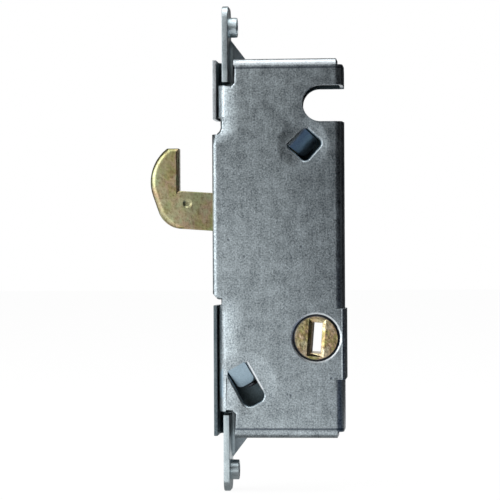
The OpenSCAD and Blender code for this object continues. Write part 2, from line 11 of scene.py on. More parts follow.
import bmesh
import bpy
from bmesh.types import BMEdge, BMesh, BMFace, BMVert
from bpy.types import ID, Material, Mesh, Node, NodeSocket, NodeTree, Object
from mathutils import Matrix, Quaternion, Vector
from mathutils.bvhtree import BVHTree
from mathutils.geometry import delaunay_2d_cdt
from mathutils.kdtree import KDTree
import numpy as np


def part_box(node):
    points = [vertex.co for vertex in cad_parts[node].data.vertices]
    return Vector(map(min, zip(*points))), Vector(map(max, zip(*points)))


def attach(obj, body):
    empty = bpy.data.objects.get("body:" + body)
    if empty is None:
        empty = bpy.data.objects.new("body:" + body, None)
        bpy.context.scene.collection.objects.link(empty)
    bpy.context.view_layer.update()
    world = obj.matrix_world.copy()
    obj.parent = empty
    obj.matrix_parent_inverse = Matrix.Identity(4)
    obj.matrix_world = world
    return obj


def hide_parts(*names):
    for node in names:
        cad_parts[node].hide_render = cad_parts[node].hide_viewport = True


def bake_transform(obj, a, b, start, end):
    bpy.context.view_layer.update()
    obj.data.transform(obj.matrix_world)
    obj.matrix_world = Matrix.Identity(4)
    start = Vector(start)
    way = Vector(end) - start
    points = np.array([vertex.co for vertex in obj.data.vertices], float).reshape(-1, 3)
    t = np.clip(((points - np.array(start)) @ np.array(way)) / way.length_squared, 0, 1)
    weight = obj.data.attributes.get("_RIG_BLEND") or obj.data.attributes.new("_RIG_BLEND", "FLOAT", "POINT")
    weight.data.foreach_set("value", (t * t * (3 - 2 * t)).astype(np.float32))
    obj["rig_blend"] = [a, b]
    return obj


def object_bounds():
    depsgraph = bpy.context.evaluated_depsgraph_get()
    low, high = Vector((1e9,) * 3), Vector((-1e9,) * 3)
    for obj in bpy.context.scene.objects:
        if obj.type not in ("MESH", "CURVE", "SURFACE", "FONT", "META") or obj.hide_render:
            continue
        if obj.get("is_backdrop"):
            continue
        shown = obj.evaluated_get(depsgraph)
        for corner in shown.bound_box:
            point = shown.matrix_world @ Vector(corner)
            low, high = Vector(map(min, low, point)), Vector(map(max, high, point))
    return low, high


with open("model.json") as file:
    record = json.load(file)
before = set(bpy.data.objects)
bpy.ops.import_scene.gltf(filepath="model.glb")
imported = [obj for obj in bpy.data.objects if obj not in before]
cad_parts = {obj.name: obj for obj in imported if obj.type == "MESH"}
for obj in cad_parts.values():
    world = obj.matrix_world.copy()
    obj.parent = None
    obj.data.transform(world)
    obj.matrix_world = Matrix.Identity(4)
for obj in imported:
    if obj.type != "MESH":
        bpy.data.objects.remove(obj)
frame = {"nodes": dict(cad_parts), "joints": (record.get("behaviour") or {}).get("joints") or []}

MM = 0.001
CRISP = 32
HUB = (24.65 * MM, -23.6 * MM)
FLOOR_GAP = 0.05 * MM
Colour = tuple[float, float, float]
EdgeShare = Callable[[BMEdge], float]
log = logging.getLogger("patio_lock")


class Slot(Enum):
    """Material slots of the record."""

    ZINC = "zinc_sheet"
    CHROMATE = "yellow_chromate"
    STEEL = "bare_steel"
    BRONZE = "bronze"
    WIRE = "spring_wire"


class Body(Enum):
    """Bodies that pieces ride on."""

    CASE = "case"
    HUB = "hub"
    LINK = "link"
    HOOK = "hook"


def math_method(operation: str, swapped: bool = False) -> Callable[["Value", Any], "Value"]:
    """Operator of Value that adds one Math node, with the value on the right where it is swapped."""
    def method(self: "Value", other: Any) -> "Value":
        """Adds the Math node."""
        pair = (other, self) if swapped else (self, other)
        node = self.graph.node("ShaderNodeMath", dict(enumerate(pair)), operation=operation)
        return Value(self.graph, node.outputs[0])

    return method


class Value:
    """A number socket of a node tree, so that its maths reads as Python; | takes the larger of two."""

    def __init__(self, graph: "Graph", socket: NodeSocket) -> None:
        """Wraps one output socket of a graph."""
        self.graph = graph
        self.socket = socket

    __add__ = math_method("ADD")
    __radd__ = math_method("ADD", True)
    __sub__ = math_method("SUBTRACT")
    __rsub__ = math_method("SUBTRACT", True)
    __mul__ = math_method("MULTIPLY")
    __rmul__ = math_method("MULTIPLY", True)
    __or__ = math_method("MAXIMUM")

    def __abs__(self) -> "Value":
        """Size without the sign."""
        return self | (0 - self)

    def ramp(self, low: float, high: float) -> "Value":
        """Rises smoothly from 0 at low to 1 at high, or falls where low is the larger."""
        sockets = {0: self, 1: low, 2: high}
        node = self.graph.node("ShaderNodeMapRange", sockets, interpolation_type="SMOOTHSTEP")
        return Value(self.graph, node.outputs[0])

    def past(self, edge: float, width: float) -> "Value":
        """Rises from 0 at an edge to 1 a width past it; a width below 0 goes the other way."""
        return self.ramp(edge, edge + width)


class Graph:
    """Adds nodes to a node tree."""

    def __init__(self, tree: NodeTree) -> None:
        """Takes the tree that the nodes go to."""
        self.tree = tree

    def node(self, kind: str, sockets: dict | None = None, **settings: Any) -> Node:
        """Adds one node.

        Args:
            kind: Blender's name of the node's type.
            sockets: Values or links of the inputs, by name or number; a node stands for its first output.
            settings: Properties of the node, set first.

        Returns:
            The new node.
        """
        node = self.tree.nodes.new(kind)
        for name, value in settings.items():
            setattr(node, name, value)
        for key, value in (sockets or {}).items():
            source = value.socket if isinstance(value, Value) else value
            source = source.outputs[0] if isinstance(source, Node) else source
            if isinstance(source, NodeSocket):
                self.tree.links.new(source, node.inputs[key])
            else:
                node.inputs[key].default_value = source
        return node


class Shader(Graph):
    """Node tree of one material, with the patterns that the finishes share."""

    def __init__(self, name: str) -> None:
        """Makes an empty material."""
        self.material = bpy.data.materials.new(name)
        self.material.use_nodes = True
        super().__init__(self.material.node_tree)
        self.tree.nodes.clear()
        self.place = self.node("ShaderNodeTexCoord").outputs["Object"]

    def noise(self, size: float, detail: float = 2, rough: float = 0.5, stretch: Any = None) -> Value:
        """Noise from 0 to 1 in lumps about size metres wide, which factors for the axes may stretch."""
        place = self.place
        if stretch:
            place = self.node("ShaderNodeMapping", {"Vector": place, "Scale": stretch})
        sockets = {"Vector": place, "Scale": 1 / size, "Detail": detail, "Roughness": rough}
        return Value(self, self.node("ShaderNodeTexNoise", sockets).outputs[0])

    def axis(self, name: str) -> Value:
        """One of the three object coordinates, in metres."""
        return Value(self, self.node("ShaderNodeSeparateXYZ", {0: self.place}).outputs[name])

    def cells(self, size: float) -> Value:
        """Distance to the nearest of scattered points that lie about size metres apart."""
        node = self.node("ShaderNodeTexVoronoi", {"Vector": self.place, "Scale": 1 / size})
        return Value(self, node.outputs["Distance"])

    def mix(self, factor: Any, first: Any, second: Any) -> NodeSocket:
        """Mixes two colours, given as tuples or sockets; the factor is the second one's share."""
        colours = [(*c, 1) if isinstance(c, tuple) else c for c in (first, second)]
        sockets = {0: factor, 6: colours[0], 7: colours[1]}
        return self.node("ShaderNodeMix", sockets, data_type="RGBA", clamp_factor=True).outputs[2]

    def away(self, x: float, z: float, radius: float) -> Value:
        """Square of the distance from a place on the cover, as a share of a radius."""
        right, up = self.axis("X") - x, self.axis("Z") - z
        return (right * right + up * up) * (1 / radius ** 2)

    def layers(self, colour: Any, *layers: tuple[Value | None, Colour]) -> Any:
        """Lays colours over a colour, each by its share, where it has one."""
        for share, over in layers:
            if share:
                colour = self.mix(share, colour, over)
        return colour

    def ramp_colour(self, value: Value, *stops: tuple[float, Colour]) -> NodeSocket:
        """Colour of a value along a ramp."""
        node = self.node("ShaderNodeValToRGB", {0: value})
        elements = node.color_ramp.elements
        while len(elements) < len(stops):
            elements.new(1)
        for element, (position, colour) in zip(elements, stops):
            element.position = position
            element.color = (*colour, 1)
        return node.outputs[0]

    def metal(self, colour: Any, roughness: Value, height: Value, depth: float = MM,
              strength: float = 1.0) -> Material:
        """Ends the material in metal, where a height of 1 stands for the depth and shows by a strength."""
        bump = self.node("ShaderNodeBump", {"Height": height, "Distance": depth, "Strength": strength})
        return self.surface("ShaderNodeBsdfPrincipled", {
            "Base Color": colour, "Metallic": 1.0, "Roughness": roughness, "Normal": bump})

    def surface(self, kind: str, sockets: dict) -> Material:
        """Ends the material in one shader, given by its type and inputs."""
        self.node("ShaderNodeOutputMaterial", {"Surface": self.node(kind, sockets)})
        return self.material


@dataclass(frozen=True)
class ZincSheet:
    """Zinc-plated sheet: fine grain, cloudy patches, faint drawing streaks and small pits."""

    name: str = "zinc_plate"
    dark: Colour = (0.17, 0.20, 0.22)
    light: Colour = (0.60, 0.68, 0.715)
    # Dark colour of the dirt in the pits, also laid on as painted shade
    stain_and_shade: Colour = (0.05, 0.065, 0.09)
    # Colour of the painted blue reflection
    reflected_blue: Colour = (0.36, 0.50, 0.60)
    # Colour of the painted highlights
    highlight_white: Colour = (0.93, 0.97, 1.0)
    roughness: float = 0.36
    grain: float = 0.42 * MM
    contrast: float = 2.1
    cloud: float = 3.2 * MM
    cloud_share: float = 0.9
    patch: float = 19 * MM
    patch_share: float = 0.5
    streak: float = 0.8 * MM
    streak_share: float = 0.4
    pit_gap: float = 6.5 * MM
    pit_size: tuple[float, float] = (0.075, 0.03)
    pit_dirt: float = 0.6
    grain_height: float = 0.03
    cloud_height: float = 0.05
    streak_height: float = 0.008
    pit_depth: float = 0.03
    cloud_rough: float = 0.2
    grain_rough: float = 0.15

    def relief(self, s: Shader) -> Value | None:
        """Height of what is pressed into the sheet, in millimetres, if anything is."""
        return None

    def painted_shade(self, s: Shader) -> Value | None:
        """Where shade is painted into the colour, if anywhere."""
        return None

    def painted_reflection(self, s: Shader) -> Value | None:
        """Where a blue reflection is painted into the colour, if anywhere."""
        return None

    def painted_highlight(self, s: Shader) -> Value | None:
        """Where highlights are painted into the colour, if anywhere."""
        return None

    def material(self) -> Material:
        """Builds the finish."""
        s = Shader(self.name)
        grain = s.noise(self.grain, 2, 0.6) - 0.5
        cloud = s.noise(self.cloud, 4, 0.55) - 0.5
        patch = s.noise(self.patch, 2, 0.5) - 0.5
        streak = s.noise(self.streak, 2, 0.5, (1, 1, 0.05)) - 0.5
        pits = s.cells(self.pit_gap).ramp(*self.pit_size)
        tone = (0.5 + self.contrast * grain + self.cloud_share * cloud + self.patch_share * patch
                + self.streak_share * streak)
        # Over the sheet's tone: dirt in the pits, painted shade, a painted blue reflection and painted highlights
        colour = s.layers(
            s.mix(tone, self.dark, self.light), (self.pit_dirt * pits, self.stain_and_shade), (self.painted_shade(s), self.stain_and_shade),
            (self.painted_reflection(s), self.reflected_blue), (self.painted_highlight(s), self.highlight_white))
        height = (self.grain_height * grain + self.cloud_height * cloud + self.streak_height * streak
                  - self.pit_depth * pits)
        relief = self.relief(s)
        if relief:
            height = height + relief
        return s.metal(colour, self.roughness + self.cloud_rough * cloud + self.grain_rough * grain, height)


@dataclass(frozen=True)
class CoverZinc(ZincSheet):
    """Zinc of the front cover, dished round its two lanced tongues, with painted shade in the creases along its bends,
    on the upper tongue, in the gap round the hub and towards the upper right, painted highlights, and a painted blue
    reflection on both tongues.
    """

    name: str = "zinc_plate_cover"
    face_y: float = -6.35 * MM
    dishes: tuple[tuple[float, float, float], ...] = (
        (21.4 * MM, 27.4 * MM, 4.4 * MM), (5.8 * MM, -35.6 * MM, 5.4 * MM))
    dish_depth: float = 0.32
    dish_fade: tuple[float, float] = (2.6, 0.4)
    # Painted shade on the upper tongue, deep in its slot
    tongue_shade: float = 0.24
    tongue_shade_fade: tuple[float, float] = (1.4, 1.0)
    # Shares of the painted blue reflection on the upper and the lower tongue
    tongue_blue: tuple[float, float] = (0.6, 0.7)
    blue_fade: tuple[float, float] = (1.9, 1.6)
    tab_reach: float = 5.0 * MM
    tab_drop: float = 0.8
    tab_fade: float = 5 * MM
    hub_ring: float = 6.2 * MM
    # Painted shade in the gap round the hub
    ring_shade: float = 0.95
    ring_fade: tuple[float, float] = (1.02, 0.97)
    # Painted highlight in a ring round the hub's hole
    bright_ring: float = 6.45 * MM
    ring_highlight: float = 0.4
    ring_highlight_fade: tuple[float, float] = (0.10, 0.06)
    tab_ends: tuple[float, float] = (27 * MM, -12 * MM)
    # Painted shade that darkens the cover towards the upper right
    right_shade_x: tuple[float, float] = (12 * MM, 27 * MM)
    right_shade_z: tuple[float, float] = (-24 * MM, -2 * MM)
    right_shade: float = 0.2
    # Painted shade along the creases where the bends leave the face
    crease_z: float = 47.55 * MM
    crease_w: float = 0.3 * MM
    crease_shade: float = 0.75
    # Painted highlight on the upper bend
    roll_z: float = 48.1 * MM
    bend_highlight: float = 0.3
    # Painted highlight along the right side of the lower slot
    slot_edge: tuple[float, float] = (5.325 * MM, -29.143 * MM)
    slot_turn: float = math.radians(-61)
    slot_length: float = 10 * MM
    slot_rim: float = 0.95 * MM
    slot_highlight: float = 0.75

    def relief(self, s: Shader) -> Value:
        """Dishes that fall towards the lanced slots, and tabs that bow towards the front lips."""
        x, z = s.axis("X"), s.axis("Z")
        depth = 0.0
        for dish in self.dishes:
            depth = depth + self.dish_depth * s.away(*dish).ramp(*self.dish_fade)
        bow = ((self.tab_reach - x) * (1 / self.tab_reach)) | 0.0
        upper, lower = self.tab_ends
        tabs = z.past(upper, self.tab_fade) + z.past(lower, -self.tab_fade)
        return 0 - depth - self.tab_drop * bow * bow * tabs

    def painted_shade(self, s: Shader) -> Value:
        """Painted shade in the creases, on the upper tongue, in the gap round the hub and towards the upper right."""
        x, y, z = s.axis("X"), s.axis("Y"), s.axis("Z")
        crease = self.crease_shade * abs(abs(z) - self.crease_z).ramp(1.4 * self.crease_w, 0.4 * self.crease_w)
        deep = y.ramp(self.face_y + 0.25 * MM, self.face_y + 0.7 * MM)
        tongue = self.tongue_shade * deep * s.away(*self.dishes[0]).ramp(*self.tongue_shade_fade)
        ring = self.ring_shade * s.away(*HUB, self.hub_ring).ramp(*self.ring_fade)
        right_shade = self.right_shade * x.ramp(*self.right_shade_x) * z.ramp(*self.right_shade_z)
        return crease | tongue | ring | right_shade

    def painted_highlight(self, s: Shader) -> Value:
        """Painted highlights: a ring round the hub, the rolled edge on the right side of the lower slot and the upper
        bend.
        """
        ring = self.ring_highlight * abs(s.away(*HUB, self.bright_ring) - 1).ramp(*self.ring_highlight_fade)
        bend = self.bend_highlight * s.axis("Z").past(self.roll_z, 0.5 * MM)
        return ring | bend | self.slot_highlight * self.slot_side(s)

    def slot_side(self, s: Shader) -> Value:
        """Where the painted highlight lies: along the rolled edge on the right side of the lower slot."""
        x, z = s.axis("X") - self.slot_edge[0], s.axis("Z") - self.slot_edge[1]
        cos, sin = math.cos(self.slot_turn), math.sin(self.slot_turn)
        along, across = cos * x + sin * z, cos * z - sin * x
        ends = along.ramp(0.7 * MM, 1.5 * MM) * along.past(self.slot_length, -MM)
        return ends * across.ramp(0.1 * MM, 0.25 * MM) * across.past(self.slot_rim, -0.2 * MM)

    def painted_reflection(self, s: Shader) -> Value:
        """Painted blue reflection on both tongues."""
        deep = s.axis("Y").ramp(self.face_y + 0.1 * MM, self.face_y + 0.35 * MM)
        upper, lower = (
            share * s.away(*dish).ramp(*self.blue_fade) for share, dish in zip(self.tongue_blue, self.dishes))
        return deep * (upper + lower)


@dataclass(frozen=True)
class ShellZinc(ZincSheet):
    """Zinc of the back shell: painted shade inside, a painted highlight on its upper front edge and painted shade on
    its lower one.
    """

    name: str = "zinc_plate_shell"
    # Dark colour of the dirt in the pits, also laid on as painted shade
    stain_and_shade: Colour = (0.05, 0.082, 0.096)
    back_y: float = 6.35 * MM
    lip_x: float = -1.0 * MM
    lip_end: float = 1.3 * MM
    edge_y: float = -3 * MM
    rear_x: float = 31 * MM
    # Painted shade on the inner face of the case
    shade_amount: float = 0.85
    # Painted shade on the lower lip and painted highlight on the upper lip
    lower_lip_shade: float = 0.7
    upper_lip_highlight: float = 0.45

    def painted_shade(self, s: Shader) -> Value:
        """Painted shade on the inner face and on the lower lip's edge."""
        x, y = s.axis("X"), s.axis("Y")
        inside = x.ramp(self.lip_x - 0.3 * MM, self.lip_x) * x.past(self.rear_x, -0.5 * MM)
        shade_amount = self.shade_amount * inside * y.ramp(self.back_y - 0.02 * MM, self.back_y - 0.2 * MM)
        return shade_amount | self.lower_lip_shade * self.lip(s) * s.axis("Z").ramp(MM, -MM)

    def painted_highlight(self, s: Shader) -> Value:
        """Painted highlight on the upper lip's edge."""
        return self.upper_lip_highlight * self.lip(s) * s.axis("Z").ramp(-MM, MM)

    def lip(self, s: Shader) -> Value:
        """Front edges of both lips, which show beside the cover."""
        near = s.axis("X").past(self.lip_end, -0.3 * MM)
        return near * s.axis("Y").past(self.edge_y, -MM)


@dataclass(frozen=True)
class EarZinc(ZincSheet):
    """Zinc of the ears, with painted shade on the web beside the case."""

    name: str = "zinc_plate_ear"
    dark: Colour = (0.33, 0.40, 0.43)
    light: Colour = (0.76, 0.86, 0.89)
    contrast: float = 0.8
    web_x: float = 1.9 * MM
    web_z: float = 57 * MM
    # Painted shade on the web
    web_shade: float = 0.6

    def painted_shade(self, s: Shader) -> Value:
        """Painted shade on the web."""
        web = s.axis("X").past(self.web_x, 0.5 * MM)
        return self.web_shade * web * abs(s.axis("Z")).past(self.web_z, -3 * MM)


@dataclass(frozen=True)
class YellowChromate:
    """Yellow chromate over zinc: gold with green and pink blooms, rubbed pale in places."""

    name: str = "yellow_chromate_film"
    gold: Colour = (0.42, 0.37, 0.16)
    green: Colour = (0.35, 0.41, 0.19)
    pink: Colour = (0.52, 0.38, 0.25)
    pale: Colour = (0.49, 0.51, 0.34)
    brown: Colour = (0.22, 0.16, 0.07)
    roughness: float = 0.33
    bloom: float = 5.5 * MM
    drift: float = 1.7
    rubbed: float = 0.7
    grain: float = 0.6 * MM
    glint: float = 0.4
    lump: float = 1.6 * MM
    speckle: float = 0.55
    pit_gap: float = 3.1 * MM
    pit_size: tuple[float, float] = (0.09, 0.03)
    pit_dirt: float = 0.5
    pit_depth: float = 0.02
    grain_height: float = 0.02
    grain_rough: float = 0.15
    lump_rough: float = 0.2
    dents: float = 0.05
    shadow: Colour = (0.03, 0.035, 0.05)

    def painted_shade(self, s: Shader) -> Value | None:
        """Where shade is painted into the colour, if anywhere."""
        return None

    def material(self) -> Material:
        """Builds the finish."""
        s = Shader(self.name)
        bloom = s.noise(self.bloom, 3, 0.6, (1, 1, 0.75))
        drift = s.noise(self.drift * self.bloom, 2, 0.5)
        grain = s.noise(self.grain, 2, 0.6)
        lump = s.noise(self.lump, 3, 0.55)
        pits = s.cells(self.pit_gap).ramp(*self.pit_size)
        film = s.ramp_colour(
            bloom.ramp(0.32, 0.7), (0.0, self.green), (0.35, self.gold), (0.65, self.pink), (1.0, self.pale))
        # The last layer is painted shade
        colour = s.layers(
            film, (self.rubbed * drift.ramp(0.45, 0.65), self.pale), (self.speckle * lump.ramp(0.5, 0.75), self.brown),
            (self.speckle * grain.ramp(0.48, 0.75), self.brown), (self.glint * grain.ramp(0.45, 0.25), self.pale),
            (self.pit_dirt * pits, self.brown), (self.painted_shade(s), self.shadow))
        roughness = self.roughness + self.lump_rough * (lump - 0.5) + self.grain_rough * (grain - 0.5)
        height = self.grain_height * grain + self.dents * lump - self.pit_depth * pits
        return s.metal(colour, roughness, height)


@dataclass(frozen=True)
class HookChromate(YellowChromate):
    """Chromate of the hook, with painted shade along its arm, darker towards the case."""

    name: str = "yellow_chromate_hook"
    pale: Colour = (0.45, 0.49, 0.28)
    speckle: float = 0.68
    dents: float = 0.075
    # Painted shade along the arm, from none at the first place to full at the second
    unshaded_x: float = -12.5 * MM
    shaded_x: float = -8 * MM
    shade_amount: float = 0.24

    def painted_shade(self, s: Shader) -> Value:
        """Painted shade on the arm, darker towards the case."""
        return self.shade_amount * s.axis("X").ramp(self.unshaded_x, self.shaded_x)


@dataclass(frozen=True)
class HubChromate(YellowChromate):
    """Chromate of the hub: rough, with brown wear, and painted shade round its rim."""

    name: str = "yellow_chromate_hub"
    gold: Colour = (0.50, 0.40, 0.18)
    green: Colour = (0.40, 0.40, 0.15)
    pink: Colour = (0.60, 0.42, 0.27)
    pale: Colour = (0.70, 0.63, 0.44)
    bloom: float = 2.6 * MM
    speckle: float = 0.82
    dents: float = 0.19
    rim: float = 5.6 * MM
    # Painted shade outside the rim, in the gap round the hub
    rim_shade: float = 0.95
    rim_fade: tuple[float, float] = (0.98, 1.03)

    def painted_shade(self, s: Shader) -> Value:
        """Painted shade outside the rim of the face, in the gap round the hub."""
        return self.rim_shade * s.away(*HUB, self.rim).ramp(*self.rim_fade)


@dataclass(frozen=True)
class TurnedMetal:
    """Bare turned metal: fine rings of grain and oily patches."""

    name: str
    dark: Colour
    light: Colour
    roughness: float
    grain: float = 0.3 * MM
    ring: float = 0.25 * MM
    oil: float = 3 * MM
    oil_share: float = 0.6
    ring_share: float = 0.4
    oil_rough: float = 0.2
    relief: float = 0.02 * MM
    relief_share: float = 0.4

    def material(self) -> Material:
        """Builds the finish."""
        s = Shader(self.name)
        grain = s.noise(self.grain, 3, 0.6)
        ring = s.noise(self.ring, 2, 0.5, (0.15, 1, 0.15))
        oil = s.noise(self.oil, 3, 0.55)
        tone = (self.oil_share * oil + self.ring_share * ring).ramp(0.3, 0.7)
        roughness = self.roughness + self.oil_rough * (oil - 0.5)
        return s.metal(
            s.mix(tone, self.dark, self.light), roughness, 0.5 * grain + ring, self.relief, self.relief_share)


STEEL = TurnedMetal("bare_turned_steel", (0.30, 0.30, 0.31), (0.55, 0.55, 0.56), 0.32)
BRONZE = TurnedMetal("oiled_bronze", (0.36, 0.22, 0.09), (0.62, 0.42, 0.20), 0.38)
WIRE = TurnedMetal("drawn_spring_wire", (0.18, 0.18, 0.19), (0.36, 0.36, 0.38), 0.30)


class Finishes:
    """Keeps one material for each slot of the record."""

    def __init__(self) -> None:
        """Builds all the materials."""
        makers = {Slot.ZINC: ZincSheet(), Slot.CHROMATE: YellowChromate(), Slot.STEEL: STEEL,
                  Slot.BRONZE: BRONZE, Slot.WIRE: WIRE}
        self.materials = {slot: maker.material() for slot, maker in makers.items()}

    def of(self, slot: Slot) -> Material:
        """Material of a slot."""
        return self.materials[slot]


class GeometryTree(Graph):
    """Geometry Nodes tree with named inputs, run once on a base mesh."""

    def __init__(self, name: str) -> None:
        """Starts a tree with its geometry sockets."""
        super().__init__(bpy.data.node_groups.new(name, "GeometryNodeTree"))
        self.values: dict[str, Any] = {}
        for way in ("INPUT", "OUTPUT"):
            self.tree.interface.new_socket("Geometry", in_out=way, socket_type="NodeSocketGeometry")
        self.source = self.node("NodeGroupInput")

    def size(self, name: str, value: Any, kind: str = "NodeSocketFloat") -> NodeSocket:
        """Adds a named input with its value and returns its socket inside the tree."""
        item = self.tree.interface.new_socket(name, in_out="INPUT", socket_type=kind)
        self.values[item.identifier] = value
        return self.source.outputs[name]

    def tube(self, path: Node, radius: NodeSocket, sides: int) -> Node:
        """Closed tube along a curve."""
        profile = self.node(
            "GeometryNodeCurvePrimitiveCircle", {"Resolution": sides, "Radius": radius}, mode="RADIUS")
        return self.node("GeometryNodeCurveToMesh", {
            "Curve": path, "Profile Curve": profile, "Fill Caps": True})

    def spread(self, shape: Node, turn: tuple[float, float, float]) -> Node:
        """Turned copies of a shape at the points of the base mesh."""
        turned = self.node("GeometryNodeTransform", {"Geometry": shape, "Rotation": turn})
        return self.node("GeometryNodeInstanceOnPoints", {"Points": self.source, "Instance": turned})

    def run(self, name: str, base: Mesh, shape: Node,
            finish: Material) -> Object:
        """Ends the tree in real geometry and runs it on a base mesh.

        Args:
            name: Name of the new piece.
            base: Mesh that the tree starts from.
            shape: Node that makes the geometry.
            finish: Material of the piece.

        Returns:
            The piece as a plain mesh object.
        """
        material = self.size("Finish", finish, "NodeSocketMaterial")
        real = self.node("GeometryNodeRealizeInstances", {0: shape})
        dressed = self.node("GeometryNodeSetMaterial", {"Geometry": real, "Material": material})
        self.node("NodeGroupOutput", {0: dressed})
        carrier = add_object(name + ".base", base)
        modifier = carrier.modifiers.new("tree", "NODES")
        modifier.node_group = self.tree
        for key, value in self.values.items():
            modifier[key] = value
        mesh = evaluated_mesh(carrier)
        bpy.data.objects.remove(carrier)
        return new_piece(name, mesh)


def add_object(name: str, data: ID) -> Object:
    """Adds an object at the origin to the scene."""
    obj = bpy.data.objects.new(name, data)
    bpy.context.scene.collection.objects.link(obj)
    return obj


def evaluated_mesh(obj: Object) -> Mesh:
    """Mesh of an object with its modifiers applied."""
    bpy.context.view_layer.update()
    depsgraph = bpy.context.evaluated_depsgraph_get()
    return bpy.data.meshes.new_from_object(obj.evaluated_get(depsgraph), depsgraph=depsgraph)


def new_piece(name: str, mesh: Mesh) -> Object:
    """Adds a mesh to the scene, smooth but for its sharp edges."""
    mesh.name = name
    mesh.polygons.foreach_set("use_smooth", [True] * len(mesh.polygons))
    mesh.set_sharp_from_angle(angle=math.radians(CRISP))
    return add_object(name, mesh)


def points_mesh(name: str, points: list[Vector], joined: bool = False) -> Mesh:
    """Mesh of bare points, or of a line through them."""
    mesh = bpy.data.meshes.new(name)
    edges = [(i, i + 1) for i in range(len(points) - 1)] if joined else []
    mesh.from_pydata([tuple(p) for p in points], edges, [])
    return mesh


def joint_at(name: str) -> Vector:
    """Place of a joint in the plane of the cover."""
    x, _, z = next(j for j in frame["joints"] if j["name"] == name)["pos_m"]
    return Vector((x, z))


@dataclass(frozen=True)
class Shift:
    """Small change of shape: moves the corners inside a box, all in millimetres, and may tilt their faces."""

    low: tuple[float, float, float]
    high: tuple[float, float, float]
    by: tuple[float, float, float]
    tilts: bool = False

    def apply(self, shape: BMesh) -> None:
        """Moves the corners of a shape."""
        for corner in shape.verts:
            if all(a < c / MM < b for a, c, b in zip(self.low, corner.co, self.high)):
                corner.co += MM * Vector(self.by)


@dataclass
class Rounding:
    """How the edges of a node are rounded.

    Attributes:
        width: Width of the rounding.
        segments: Facets across it.
        share: Gives the share of the width that an edge takes.
        merge: Distance below which corners are merged first.
        shifts: Small changes of shape, made before the rounding.
        crisp: Angle in degrees above which an edge isn't smoothed over.
    """

    width: float
    segments: int = 2
    share: EdgeShare = lambda edge: 1.0
    merge: float = 0.015 * MM
    shifts: tuple[Shift, ...] = ()
    crisp: float = CRISP


